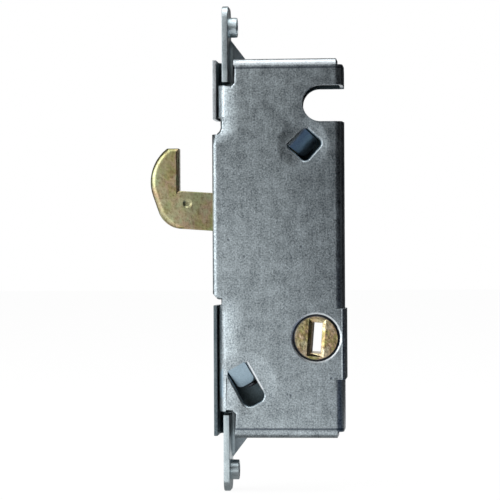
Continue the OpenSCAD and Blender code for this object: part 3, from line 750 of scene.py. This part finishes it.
class EdgeRounder:
    """Copies a CAD node's mesh and rounds its sharp edges."""

    tries: int = 10
    joined_angle: float = math.radians(0.6)
    sharp_angle: float = math.radians(38)
    awkward_reach: float = 0.5 * MM
    flat_depth: float = 0.002 * MM
    same_place: float = 1e-7
    short_edge: float = 1e-6
    fill_gap: float = 1e-5
    stray_widths: float = 1.6
    proud_widths: float = 0.05

    def __init__(self, node: str, rounding: Rounding) -> None:
        """Merges the node's loose triangles, joins those that lie in one plane and moves some corners."""
        self.node = node
        self.rounding = rounding
        self.shape = bmesh.new()
        self.shape.from_mesh(frame["nodes"][node].data)
        self.shape.edges.layers.float.new("bevel_weight_edge")
        bmesh.ops.remove_doubles(self.shape, verts=self.shape.verts, dist=rounding.merge)
        self.shift(True)
        bmesh.ops.dissolve_limit(
            self.shape, angle_limit=self.joined_angle, verts=self.shape.verts, edges=self.shape.edges)
        self.shift(False)

    def shift(self, tilting: bool) -> None:
        """Moves the corners whose faces may tilt, or the others."""
        for shift in self.rounding.shifts:
            if shift.tilts == tilting:
                shift.apply(self.shape)

    def sharp_edges(self, awkward: list[Vector]) -> list[BMEdge]:
        """Outer edges that are sharp and away from awkward places."""
        sharp = [e for e in self.shape.edges
                 if e.is_manifold and e.is_convex and e.calc_face_angle() > self.sharp_angle]
        return [e for e in sharp if all(
            (v.co - p).length > self.awkward_reach for v in e.verts for p in awkward)]

    def torn_places(self) -> list[Vector]:
        """Ends of edges that don't join exactly two faces."""
        return [v.co.copy() for e in self.shape.edges if not e.is_manifold for v in e.verts]

    @classmethod
    def rounded(cls, node: str, rounding: Rounding) -> "EdgeRounder":
        """Rounds a node's edges, and leaves those sharp where the rounding would tear the surface."""
        awkward: list[Vector] = []
        for _ in range(cls.tries):
            rounder = cls(node, rounding)
            rounder.round({e: rounding.share(e) for e in rounder.sharp_edges(awkward)})
            rounder.refill()
            torn = rounder.torn_places()
            if not torn:
                break
            awkward += torn
        log.info("%s: %d places left sharp", node, len(awkward))
        return rounder

    def round(self, chosen: dict[BMEdge, float]) -> None:
        """Rounds the chosen edges, each by its share, and pulls stray corners back to them."""
        width = self.rounding.width
        lines = self.points_along(list(chosen), width / 2)
        corners = self.tree_of([v.co.copy() for v in self.shape.verts])
        self.skin = BVHTree.FromBMesh(self.shape)
        low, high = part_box(self.node)
        self.bevel(chosen)
        for corner in self.shape.verts:
            place, _, away = lines.find(corner.co)
            if away > self.stray_widths * width and corners.find(corner.co)[2] > self.same_place:
                corner.co = place
            foot, normal, _, _ = self.skin.find_nearest(corner.co)
            if (corner.co - foot).dot(normal) > self.proud_widths * width:
                corner.co = foot
            corner.co = Vector([min(max(c, a), b) for c, a, b in zip(corner.co, low, high)])
        bmesh.ops.dissolve_degenerate(self.shape, dist=self.short_edge, edges=self.shape.edges)

    def bevel(self, chosen: dict[BMEdge, float]) -> None:
        """Runs a Bevel modifier with a weight for each chosen edge."""
        weight = self.shape.edges.layers.float["bevel_weight_edge"]
        for edge, value in chosen.items():
            edge[weight] = value
        mesh = bpy.data.meshes.new(self.node)
        self.shape.to_mesh(mesh)
        carrier = add_object(self.node + ".base", mesh)
        modifier = carrier.modifiers.new("edges", "BEVEL")
        modifier.limit_method = "WEIGHT"
        modifier.width = self.rounding.width
        modifier.segments = self.rounding.segments
        modifier.use_clamp_overlap = False
        modifier.loop_slide = False
        self.shape.clear()
        self.shape.from_mesh(evaluated_mesh(carrier))
        bpy.data.objects.remove(carrier)

    @staticmethod
    def tree_of(points: list[Vector]) -> KDTree:
        """Search tree of points."""
        tree = KDTree(len(points))
        for index, point in enumerate(points):
            tree.insert(point, index)
        tree.balance()
        return tree

    def points_along(self, edges: list[BMEdge], step: float) -> KDTree:
        """Search tree of points along edges, a step apart."""
        points = []
        for edge in edges:
            start, end = (v.co for v in edge.verts)
            count = max(1, math.ceil(edge.calc_length() / step))
            points += [start.lerp(end, i / count) for i in range(count + 1)]
        return self.tree_of(points)

    def refill(self) -> None:
        """Fills each flat stretch anew from its outline, so that no triangle is folded over or faces inwards."""
        for flat in self.flat_stretches():
            if len(flat) > 1 or len(flat[0].verts) > 4:
                self.refill_stretch(flat)
        gaps = [e for e in self.shape.edges if len(e.link_faces) == 1]
        bmesh.ops.holes_fill(self.shape, edges=gaps, sides=0)
        self.shape.normal_update()
        for face in self.shape.faces:
            _, normal, _, _ = self.skin.find_nearest(face.calc_center_median())
            if face.normal.dot(normal) < 0:
                face.normal_flip()

    def flat_stretches(self) -> list[list[BMFace]]:
        """All faces in groups that lie in one plane, each grown from its largest face."""
        self.shape.normal_update()
        order = sorted(self.shape.faces, key=lambda f: f.calc_area(), reverse=True)
        todo = dict.fromkeys(order)
        return [self.flat_stretch(face, todo) for face in order if face in todo]

    @classmethod
    def flat_stretch(cls, start: BMFace,
                     todo: dict[BMFace, None]) -> list[BMFace]:
        """Faces joined to one face in its plane, taken out of those still to do."""
        todo.pop(start)
        normal = start.normal.copy()
        point = start.calc_center_median()
        found = [start]
        for face in found:
            for edge in face.edges:
                for other in edge.link_faces:
                    near = normal.length > 0.5 and all(
                        abs((v.co - point).dot(normal)) < cls.flat_depth for v in other.verts)
                    if other in todo and near:
                        todo.pop(other)
                        found.append(other)
        return found

    def refill_stretch(self, flat: list[BMFace]) -> None:
        """Fills one flat stretch from its outline."""
        inside = set(flat)
        normal = max(flat, key=lambda f: f.calc_area()).normal.copy()
        edges = list(dict.fromkeys(e for f in flat for e in f.edges))
        rim = [e for e in edges if sum(f in inside for f in e.link_faces) == 1]
        inner = [e for e in edges if sum(f in inside for f in e.link_faces) > 1]
        bmesh.ops.delete(self.shape, geom=flat, context="FACES_ONLY")
        bmesh.ops.delete(self.shape, geom=[e for e in inner if not e.link_faces], context="EDGES")
        corners = list(dict.fromkeys(v for e in rim for v in e.verts))
        number = {v: i for i, v in enumerate(corners)}
        across = normal.orthogonal().normalized()
        along = normal.cross(across)
        flat_places = [Vector((v.co.dot(across), v.co.dot(along))) / MM for v in corners]
        lines = [(number[e.verts[0]], number[e.verts[1]]) for e in rim]
        places, _, triangles, origin, _, _ = delaunay_2d_cdt(flat_places, lines, [], 0, self.fill_gap)
        for triangle in triangles:
            middle = sum((places[i] for i in triangle), Vector((0, 0))) / 3
            known = all(origin[i] for i in triangle)
            if known and self.is_inside(middle, [(flat_places[i], flat_places[j]) for i, j in lines]):
                ends = [corners[origin[i][0]] for i in triangle]
                if len(set(ends)) == 3 and not self.shape.faces.get(ends):
                    self.shape.faces.new(ends)

    @staticmethod
    def is_inside(point: Vector, lines: list[tuple[Vector, Vector]]) -> bool:
        """Whether a flat point lies inside an outline, holes left out."""
        crossings = 0
        for start, end in lines:
            if (start.y > point.y) != (end.y > point.y):
                reach = start.x + (point.y - start.y) / (end.y - start.y) * (end.x - start.x)
                crossings += reach > point.x
        return crossings % 2 == 1

    def corner_normals(self) -> list[Vector]:
        """Normals of all face corners: broad stretches outweigh the narrow ones that they run into."""
        limit = math.radians(self.rounding.crisp)
        area = {}
        for flat in self.flat_stretches():
            whole = sum(f.calc_area() for f in flat)
            area.update((f, whole) for f in flat)
        soft = {e for e in self.shape.edges if e.is_manifold and e.calc_face_angle(math.pi) < limit}
        normals = []
        for face in self.shape.faces:
            for corner in face.loops:
                normal = Vector()
                for other in self.fan(face, corner.vert, soft):
                    turn = next(c for c in other.loops if c.vert == corner.vert).calc_angle()
                    normal += area[other] * turn * other.normal
                normals.append(normal.normalized() if normal.length else face.normal.copy())
        return normals

    @staticmethod
    def fan(face: BMFace, vert: BMVert,
            soft: set[BMEdge]) -> list[BMFace]:
        """Faces round a corner that soft edges join to one face."""
        found = [face]
        for other in found:
            for edge in vert.link_edges:
                if edge in soft and other in edge.link_faces:
                    found += [f for f in edge.link_faces if f not in found]
        return found

    def mesh(self) -> Mesh:
        """Finished mesh, whose broad faces stay flat beside the rounding and edges above an angle stay crisp."""
        normals = self.corner_normals()
        mesh = bpy.data.meshes.new(self.node)
        self.shape.to_mesh(mesh)
        self.shape.free()
        mesh.polygons.foreach_set("use_smooth", [True] * len(mesh.polygons))
        mesh.normals_split_custom_set(normals)
        return mesh


class Assembly:
    """Sub-assembly whose pieces stand for CAD nodes of one body."""

    def __init__(self, body: Body, finishes: Finishes) -> None:
        """Takes the body that the pieces ride on and the materials."""
        self.body = body
        self.finishes = finishes

    def dress(self, piece: Object, slot: Slot, *nodes: str) -> Object:
        """Gives a piece its finish and its place in the frame.

        Args:
            piece: The finished mesh object.
            slot: Material slot of the record.
            nodes: CAD nodes that the piece stands for.

        Returns:
            The same piece.
        """
        piece.data.materials.clear()
        piece.data.materials.append(self.finishes.of(slot))
        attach(piece, self.body.value)
        if nodes:
            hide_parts(*nodes)
        log.info("%s: %d faces on %s", piece.name, len(piece.data.polygons), self.body.value)
        return piece

    def soft_copy(self, node: str, slot: Slot, rounding: Rounding) -> Object:
        """Replaces a CAD node by a copy with rounded edges."""
        mesh = EdgeRounder.rounded(node, rounding).mesh()
        return self.dress(add_object(node + ".rounded", mesh), slot, node)


@dataclass
class Shells:
    """Front cover and back shell of the case."""

    finishes: Finishes
    die_roll: float = 0.72 * MM
    edge_share: float = 0.18
    low_lips: Shift = Shift((-2.7, -6.2, -51), (-1.5, -6.1, 51), (0, 1.4, 0))
    near_notch: Shift = Shift((20, -9, 33), (25.5, -5, 43.2), (0.85, 0, 0))
    notch_x: float = 20 * MM
    notch_z: tuple[float, float] = (33 * MM, 43.2 * MM)

    def build(self) -> None:
        """Makes both shells."""
        case = Assembly(Body.CASE, self.finishes)
        face_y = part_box("front_cover")[0].y
        cover = case.soft_copy("front_cover", Slot.ZINC, Rounding(
            self.die_roll, 4, partial(self.cover_share, face_y), shifts=(self.near_notch,)))
        cover.data.materials[0] = CoverZinc().material()
        shell = case.soft_copy("back_shell", Slot.ZINC, Rounding(
            self.edge_share * self.die_roll, shifts=(self.low_lips,)))
        shell.data.materials[0] = ShellZinc().material()

    def cover_share(self, face_y: float, edge: BMEdge) -> float:
        """Edges on the cover's face were rolled over by the punch; the notch and the rest only lost their burr."""
        on_face = all(abs(v.co.y - face_y) < EdgeRounder.flat_depth for v in edge.verts)
        low, high = self.notch_z
        at_notch = all(v.co.x > self.notch_x and low < v.co.z < high for v in edge.verts)
        return 1.0 if on_face and not at_notch else self.edge_share


@dataclass
class Ears:
    """Two angle brackets with tapped collars, and their rivets."""

    finishes: Finishes
    edge: float = 0.2 * MM
    hole_spacing: float = 117.475 * MM
    tap_radius: float = 1.75 * MM
    thread_pitch: float = 0.79 * MM
    thread_depth: float = 0.17 * MM
    thread_inset: float = 0.25 * MM
    thread_sides: int = 4
    turn_steps: int = 28
    collar_depth: float = 3.7 * MM
    rivet_radius: float = 1.5 * MM
    rivet_head_radius: float = 2.55 * MM
    rivet_head_height: float = 0.72 * MM
    rivet_head_flat: float = 0.3
    rivet_sides: int = 32

    def build(self) -> None:
        """Makes the brackets, the threads and the rivets."""
        case = Assembly(Body.CASE, self.finishes)
        # The ears' zinc carries painted shade on the web
        shaded_ear_zinc = EarZinc().material()
        for node in ("upper_ear", "lower_ear"):
            case.soft_copy(node, Slot.ZINC, Rounding(self.edge)).data.materials[0] = shaded_ear_zinc
        case.dress(self.threads(), Slot.ZINC)
        case.dress(self.rivets(), Slot.STEEL, "ear_rivets")

    def threads(self) -> Object:
        """Spiral ridges in both tapped collars."""
        low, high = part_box("upper_ear")
        length = self.collar_depth - 2 * self.thread_inset
        holes = [Vector((low.x + self.thread_inset, (low.y + high.y) / 2, s * self.hole_spacing / 2))
                 for s in (-1, 1)]
        tree = GeometryTree("screw_threads")
        radius = tree.size("Hole radius", self.tap_radius)
        ridge = tree.size("Ridge radius", self.thread_depth)
        spiral = tree.node("GeometryNodeCurveSpiral", {
            "Resolution": self.turn_steps, "Rotations": tree.size("Turns", length / self.thread_pitch),
            "Start Radius": radius, "End Radius": radius, "Height": tree.size("Length", length)})
        ridges = tree.spread(tree.tube(spiral, ridge, self.thread_sides), (0, math.pi / 2, 0))
        base = points_mesh("thread_places", holes)
        return tree.run("tapped_threads", base, ridges, self.finishes.of(Slot.ZINC))

    def rivets(self) -> Object:
        """Four rivets with domed heads inside the case and set tails flush with its back."""
        low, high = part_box("ear_rivets")
        inset = self.rivet_head_radius
        places = [Vector((x, (low.y + high.y) / 2, z)) for x in (low.x + inset, high.x - inset)
                  for z in (low.z + inset, high.z - inset)]
        tree = GeometryTree("bracket_rivets")
        length = tree.size("Length", high.y - low.y)
        rise = tree.size("Head height", self.rivet_head_height)
        rod = tree.node("GeometryNodeMeshCylinder", {
            "Vertices": self.rivet_sides, "Radius": tree.size("Shank radius", self.rivet_radius),
            "Depth": length}, fill_type="TRIANGLE_FAN")
        dome = tree.node("GeometryNodeMeshUVSphere", {
            "Segments": self.rivet_sides, "Rings": self.rivet_sides // 2,
            "Radius": tree.size("Head radius", self.rivet_head_radius)})
        up = tree.node("ShaderNodeCombineXYZ", {2: Value(tree, length) * 0.5 - Value(tree, rise)})
        seated = tree.node("GeometryNodeTransform", {
            "Geometry": dome, "Scale": (1, 1, self.rivet_head_flat), "Translation": up})
        both = tree.node("GeometryNodeJoinGeometry")
        for shape in (rod, seated):
            tree.tree.links.new(shape.outputs[0], both.inputs[0])
        rivets = tree.spread(both, (math.pi / 2, 0, 0))
        base = points_mesh("rivet_places", places)
        return tree.run("ear_rivets.domed", base, rivets, self.finishes.of(Slot.STEEL))


@dataclass
class HookSet:
    """Hook with its bush, its pivot stud and the washers."""

    finishes: Finishes
    hook_edge: float = 1.7 * MM
    plain_share: float = 0.15
    throat_share: float = 0.48
    closed_nick: Shift = Shift((-12, -9, 5.75), (-11.8, 9, 5.95), (0.38, 0, -0.52))
    heel_start: float = -15.5 * MM
    heel_end: float = -11.0 * MM
    throat_x: float = -12 * MM
    tip_depth: float = 0.1 * MM
    merge: float = 0.03 * MM
    small_edge: float = 0.12 * MM

    def build(self) -> None:
        """Makes the hook and what it turns on."""
        hook = Assembly(Body.HOOK, self.finishes)
        tip_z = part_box("hook_bolt")[1].z
        blade = hook.soft_copy("hook_bolt", Slot.CHROMATE, Rounding(
            self.hook_edge, 5, partial(self.hook_share, tip_z), self.merge, (self.closed_nick,)))
        blade.data.materials[0] = HookChromate().material()
        hook.soft_copy("hook_bush", Slot.BRONZE, Rounding(self.small_edge))
        for node in ("hook_link_pin", "hook_pin_washer"):
            hook.soft_copy(node, Slot.STEEL, Rounding(0.5 * self.small_edge))
        case = Assembly(Body.CASE, self.finishes)
        for node in ("hook_pivot", "hook_washer"):
            case.soft_copy(node, Slot.STEEL, Rounding(self.small_edge))

    def hook_share(self, tip_z: float, edge: BMEdge) -> float:
        """The blade's outer edge is well rounded, and the rounding fades along the heel."""
        middle = (edge.verts[0].co + edge.verts[1].co) / 2
        along = (middle.x - self.heel_start) / (self.heel_end - self.heel_start)
        fade = 1 - min(max(along, 0), 1) * (1 - self.plain_share)
        start, end = (v.co for v in edge.verts)
        across = abs(start.y - end.y) > EdgeRounder.flat_depth
        flat_tip = middle.z > tip_z - self.tip_depth
        throat = abs(start.x - end.x) < EdgeRounder.flat_depth and middle.x > self.throat_x
        if throat and not across:
            return self.throat_share
        return self.plain_share if across or flat_tip else fade


@dataclass
class HubTrain:
    """Slotted hub, its crank and the link to the hook."""

    finishes: Finishes
    hub_edge: float = 0.18 * MM
    lead_in: tuple[Shift, ...] = (
        Shift((22.5, -5.9, -27.9), (26.8, -5.8, -19.3), (0, 0.25, 0), True),
        Shift((22, -5.9, -19), (28, -5.8, -18), (0, -0.3, 0), True),
        Shift((21.5, -5.9, -29), (27, -5.8, -28), (0, -0.3, 0), True))
    recess_edge: float = 0.1 * MM
    slot_share: float = 0.6
    rim_share: float = 0.5
    rim_radius: float = 5.5 * MM
    recess_corner: float = 4.8 * MM
    chord: float = 0.98
    crisp: float = 26
    small_edge: float = 0.06 * MM

    def build(self) -> None:
        """Makes the hub, the crank with its pin and washers, and the link."""
        hub = Assembly(Body.HUB, self.finishes)
        middle = joint_at("hub_turn")
        tail = hub.soft_copy("tailpiece_hub", Slot.CHROMATE, Rounding(
            self.recess_edge, 4, partial(self.hub_share, middle), shifts=self.lead_in, crisp=self.crisp))
        tail.data.materials[0] = HubChromate().material()
        hub.soft_copy("crank_arm", Slot.ZINC, Rounding(self.hub_edge))
        for node in ("crank_pin", "crank_pin_washer", "hub_spacer"):
            hub.soft_copy(node, Slot.STEEL, Rounding(self.small_edge))
        link = Assembly(Body.LINK, self.finishes)
        link.soft_copy("drive_link", Slot.ZINC, Rounding(self.hub_edge))

    def hub_share(self, middle: Vector, edge: BMEdge) -> float:
        """The recess round the slot is well rounded, the slot less and the turned rims only a little."""
        start, end = (Vector((v.co.x, v.co.z)) - middle for v in edge.verts)
        if ((start + end) / 2).length > self.chord * start.length or start.length > self.rim_radius:
            return self.rim_share
        return 1.0 if start.length > self.recess_corner else self.slot_share


@dataclass
class ToggleSpring:
    """Over-centre spring: an eye round the crank pin, a leg, curls and a leg hooked round the tongue's tip."""

    finishes: Finishes
    wire: float = 1.0 * MM
    wire_gap: float = 0.1 * MM
    curl_radius: float = 3.4 * MM
    curl_rise: float = 1.45 * MM
    curls: int = 2
    eye_radius: float = 2.2 * MM
    eye_sweep: float = math.radians(290)
    leg_depth: float = 1.25 * MM
    sheet: float = 1.0 * MM
    crank: float = 10.8 * MM
    tongue_turn: float = math.radians(-61)
    tongue_width: float = 5.2 * MM
    tongue_fold: float = math.radians(30)
    tongue_length: float = 6.6 * MM
    tongue_bend: float = 0.5 * MM
    tongue_place: tuple[float, float] = (-2, -0.63)
    curl_place: tuple[float, float] = (0.176, 0.778)
    tail_place: float = 0.38
    tail_bend: float = 0.9
    eye_steps: int = 20
    coil_steps: int = 60
    step: float = 0.3 * MM
    sides: int = 16

    def places(self) -> tuple[Vector, Vector, Vector]:
        """Crank pin, middle of the curls and foot of the tongue, in the plane of the cover."""
        hub, pin = (joint_at(name) for name in ("hub_turn", "link_swing"))
        tongue = hub + self.crank * Vector(self.tongue_place)
        return pin, tongue + self.crank * Vector(self.curl_place), tongue

    def route(self) -> list[Vector]:
        """Points of the wire's middle line, from the eye to the end at the tongue."""
        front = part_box("front_cover")[0].y + self.sheet
        pin, curl, tongue = self.places()
        near_y = front + self.leg_depth
        leg = curl - pin
        start = math.atan2(leg.y, leg.x) - math.acos((self.eye_radius - self.curl_radius) / leg.length)
        beside = self.tongue_width / 2 + self.wire / 2 + self.wire_gap
        last = self.from_tongue(tongue, self.tail_place * self.crank, beside) - curl
        end = math.atan2(last.y, last.x) - math.acos(self.curl_radius / last.length)
        sweep = 2 * math.pi * self.curls + (end - start) % (2 * math.pi)
        far_y = near_y + self.curl_rise * sweep / (2 * math.pi)
        bend = self.tongue_bend + self.sheet / 2
        reach = self.tongue_length + self.wire / 2 + 2 * self.wire_gap
        ahead = bend * math.sin(self.tongue_fold) + reach * math.cos(self.tongue_fold)
        tip_y = front + self.tongue_bend - bend * math.cos(self.tongue_fold) + reach * math.sin(self.tongue_fold)
        eye = [(pin + self.eye_radius * self.unit(start - self.eye_sweep * (1 - i / self.eye_steps)), near_y)
               for i in range(self.eye_steps + 1)]
        coil = [(curl + self.curl_radius * self.unit(start + sweep * i / self.coil_steps),
                 near_y + (far_y - near_y) * i / self.coil_steps) for i in range(self.coil_steps + 1)]
        tail = [(self.tail_place * self.crank - self.wire, beside + self.wire_gap, far_y),
                (ahead - self.wire / 2, beside - self.wire_gap, far_y),
                (ahead, beside - self.tail_bend * self.wire, (far_y + tip_y) / 2),
                (ahead, 0, tip_y)]
        hook = [(self.from_tongue(tongue, u, v), y) for u, v, y in tail]
        return [Vector((p.x, y, p.y)) for p, y in eye + coil + hook]

    @staticmethod
    def unit(angle: float) -> Vector:
        """Direction in the plane of the cover."""
        return Vector((math.cos(angle), math.sin(angle)))

    def from_tongue(self, start: Vector, along: float, beside: float) -> Vector:
        """Point given along the tongue and beside it."""
        return start + along * self.unit(self.tongue_turn) + beside * self.unit(self.tongue_turn + math.pi / 2)

    def build(self) -> None:
        """Makes the wire: its curls stay at the tongue, its eye goes with the crank pin."""
        wire = self.sweep()
        pin, curl, _ = self.places()
        along = (pin - curl).normalized()
        ends = (curl + (self.curl_radius + self.wire) * along, pin - (self.eye_radius + self.wire) * along)
        start, end = (Vector((p.x, 0, p.y)) for p in ends)
        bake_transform(wire, Body.CASE.value, Body.HUB.value, start=start, end=end)
        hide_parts("toggle_spring")
        log.info("%s: %d faces from case to hub", wire.name, len(wire.data.polygons))

    def sweep(self) -> Object:
        """Round wire along the spring's route."""
        tree = GeometryTree("spring_wire")
        radius = tree.size("Wire radius", self.wire / 2)
        path = tree.node("GeometryNodeMeshToCurve", {0: tree.source})
        smooth = tree.node("GeometryNodeCurveSplineType", {0: path}, spline_type="CATMULL_ROM")
        step = tree.size("Step", self.step)
        fine = tree.node("GeometryNodeResampleCurve", {"Curve": smooth, "Length": step}, mode="LENGTH")
        base = points_mesh("spring_route", self.route(), True)
        return tree.run("toggle_spring.wire", base, tree.tube(fine, radius, self.sides), self.finishes.of(Slot.WIRE))


@dataclass
class Studio:
    """White room, soft light, flags that darken reflections, floor and camera."""

    target: Vector = field(default_factory=lambda: Vector((7.3, -6.35, -0.4)) * MM)
    azimuth: float = math.radians(4.56)
    distance: float = 600 * MM
    focal_pixels: float = 2280
    frame_pixels: float = 500
    sensor: float = 36
    room_light: float = 0.55
    floor_share: float = 0.9
    floor_glow: float = 1.035
    floor_reach: float = 3.0
    roll: float = math.radians(-0.28)
    clip: float = 10 * MM
    card_light: float = 2.2
    card_base: float = 0.16
    card_left: float = 0.11
    card_low: float = 1.05
    card_dim: float = 0.06
    card_gain: float = 1.18
    card_far: float = 0.6
    card_dip: float = 0.55
    card_gap: float = 0.1 * MM
    dark_level: float = 0.012
    grey_level: float = 0.1
    low_level: float = 0.3
    navy_level: float = 0.27
    navy: Colour = (0.52, 0.67, 1.0)

    def build(self, floor_z: float) -> None:
        """Makes the world, the light, the flags, the floor and the camera."""
        self.world()
        self.camera()
        self.floor(floor_z)
        self.lights()
        self.flags(floor_z)

    def camera(self) -> None:
        """Sets the camera at the photograph's viewing angle."""
        data = bpy.data.cameras.new("camera")
        data.sensor_width = self.sensor
        data.lens = self.focal_pixels * self.sensor / self.frame_pixels
        data.clip_start = self.clip
        obj = add_object("camera", data)
        away = Vector((math.sin(self.azimuth), -math.cos(self.azimuth), 0))
        obj.location = self.target + self.distance * away
        turn = (-away).to_track_quat("-Z", "Y") @ Quaternion((0, 0, 1), self.roll)
        obj.rotation_euler = turn.to_euler()
        bpy.context.scene.camera = obj

    def world(self) -> None:
        """White to the eye and in reflections, a plain level elsewhere."""
        world = bpy.data.worlds.new("white_room")
        world.use_nodes = True
        graph = Graph(world.node_tree)
        graph.tree.nodes.clear()
        seen = self.seen(graph)
        light = graph.node("ShaderNodeBackground", {
            "Color": (1, 1, 1, 1), "Strength": seen * (1 - self.room_light) + self.room_light})
        graph.node("ShaderNodeOutputWorld", {"Surface": light})
        bpy.context.scene.world = world

    @staticmethod
    def seen(graph: Graph) -> Value:
        """1 for rays that show a surface to the eye, straight, mirrored or through glass."""
        path = graph.node("ShaderNodeLightPath")
        kinds = ("Is Camera Ray", "Is Glossy Ray", "Is Transmission Ray")
        first, second, third = (Value(graph, path.outputs[kind]) for kind in kinds)
        return first | second | third

    def plane(self, name: str, corners: list[Vector], material: Material) -> Object:
        """Flat stage piece through its corners."""
        mesh = bpy.data.meshes.new(name)
        mesh.from_pydata([tuple(c) for c in corners], [], [list(range(len(corners)))])
        mesh.materials.append(material)
        obj = add_object(name, mesh)
        obj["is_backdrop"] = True
        return obj

    def floor(self, z: float) -> None:
        """Pale floor that reads white and keeps a faint shadow."""
        s = Shader("pale_floor")
        matt = s.node("ShaderNodeBsdfDiffuse", {"Color": (0.9, 0.9, 0.9, 1)})
        white = s.node("ShaderNodeEmission", {"Color": (1, 1, 1, 1), "Strength": self.floor_glow})
        ends = (-self.floor_reach, self.floor_reach)
        self.plane("floor", self.lying(ends, ends, z), s.surface("ShaderNodeMixShader", {
            0: self.seen(s) * self.floor_share, 1: matt, 2: white}))

    def lights(self) -> None:
        """Soft light from the left and a softer one from above."""
        self.area("key_light", Vector((-0.75, -0.45, 0.25)), 0.7, 4)
        self.area("top_light", Vector((0.1, -0.1, 0.9)), 0.8, 3)

    def area(self, name: str, place: Vector, size: float, power: float) -> None:
        """Square area light that faces the object."""
        data = bpy.data.lights.new(name, "AREA")
        data.size = size
        data.energy = power
        obj = add_object(name, data)
        obj.location = place
        obj.rotation_euler = (self.target - place).to_track_quat("-Z", "Y").to_euler()

    def flags(self, floor_z: float) -> None:
        """Graded grey card in front and dark cards just outside the picture, all mirrored by the metal."""
        front = self.strip((-0.20, -0.22), (0.12, -0.22), (-0.12, 0.12))
        self.card("front_card", front, self.graded("front_card"))
        dark = self.glow("dark_card", self.dark_level)
        grey = self.glow("grey_card", self.grey_level)
        tall = (-0.3, 0.3)
        self.card("right_flag", self.strip((0.17, -0.46), (0.17, -0.025), tall), dark)
        self.card("side_flag", self.strip((0.17, -0.025), (0.17, 0.03), tall), grey)
        self.card("right_back_flag", self.strip((0.17, 0.03), (0.04, 0.30), tall), dark)
        self.card("left_back_flag", self.strip((-0.30, 0.06), (-0.105, 0.30), tall), dark)
        self.card("upper_left_flag", self.strip((-0.26, -0.06), (-0.26, 0.10), (0.10, 0.35)), dark)
        top = [Vector((x, y, z)) for x, y, z in (
            (-0.3, 0.10, 0.30), (0.3, 0.10, 0.30), (0.3, 0.30, 0.105), (-0.3, 0.30, 0.105))]
        self.card("top_back_flag", top, self.glow("top_card", self.grey_level))
        low = floor_z + self.card_gap
        navy = self.glow("navy_card", self.navy_level, self.navy)
        self.card("right_floor_card", self.lying((0.04, 0.30), (-0.25, 0.02), low), navy)
        rear = self.glow("low_card", self.low_level)
        self.card("rear_floor_card", self.lying((-0.15, 0.15), (-0.012, 0.06), low), rear)

    @staticmethod
    def strip(start: tuple[float, float], end: tuple[float, float], zs: tuple[float, float]) -> list[Vector]:
        """Corners of an upright card between two places on the floor."""
        (x0, y0), (x1, y1) = start, end
        return [Vector((x0, y0, zs[0])), Vector((x1, y1, zs[0])), Vector((x1, y1, zs[1])), Vector((x0, y0, zs[1]))]

    @staticmethod
    def lying(xs: tuple[float, float], ys: tuple[float, float], z: float) -> list[Vector]:
        """Corners of a card that lies flat."""
        return [Vector((x, y, z)) for x, y in (
            (xs[0], ys[0]), (xs[1], ys[0]), (xs[1], ys[1]), (xs[0], ys[1]))]

    def glow(self, name: str, level: float, tint: Colour = (1, 1, 1)) -> Material:
        """Material of a card with an even level of light."""
        return Shader(name).surface("ShaderNodeEmission", {"Color": (*tint, 1), "Strength": level})

    def graded(self, name: str) -> Material:
        """Material of a card that is brightest at its lower left."""
        s = Shader(name)
        lower = s.axis("Z").ramp(0.07, -0.07)
        left = s.axis("X").ramp(0.055, -0.055)
        far_left = s.axis("X").ramp(-0.06, -0.12)
        rise = self.card_base + self.card_left * left + self.card_low * lower
        level = rise * (self.card_dim + self.card_gain * left) + self.card_far * far_left
        level = level - self.card_dip * (1 - left) * lower * (1 - lower)
        shade = s.mix(level * (1 / self.card_light), (0, 0, 0), (1, 1, 1))
        return s.surface("ShaderNodeEmission", {"Color": shade, "Strength": self.card_light})

    def card(self, name: str, corners: list[Vector], material: Material) -> None:
        """Card that only reflections show."""
        plane = self.plane(name, corners, material)
        plane.visible_camera = False
        plane.visible_shadow = False
        plane.visible_diffuse = False


def main() -> None:
    """Builds the lock and its studio, with the floor just under the lowest point of the CAD parts."""
    logging.basicConfig(level=logging.INFO, format="%(message)s")
    cad_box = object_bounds()
    bpy.context.scene.view_settings.view_transform = "Standard"
    finishes = Finishes()
    Studio().build(cad_box[0][2] - FLOOR_GAP)
    for part in (Shells, Ears, HookSet, HubTrain, ToggleSpring):
        part(finishes).build()


if __name__ == "__main__":
    main()
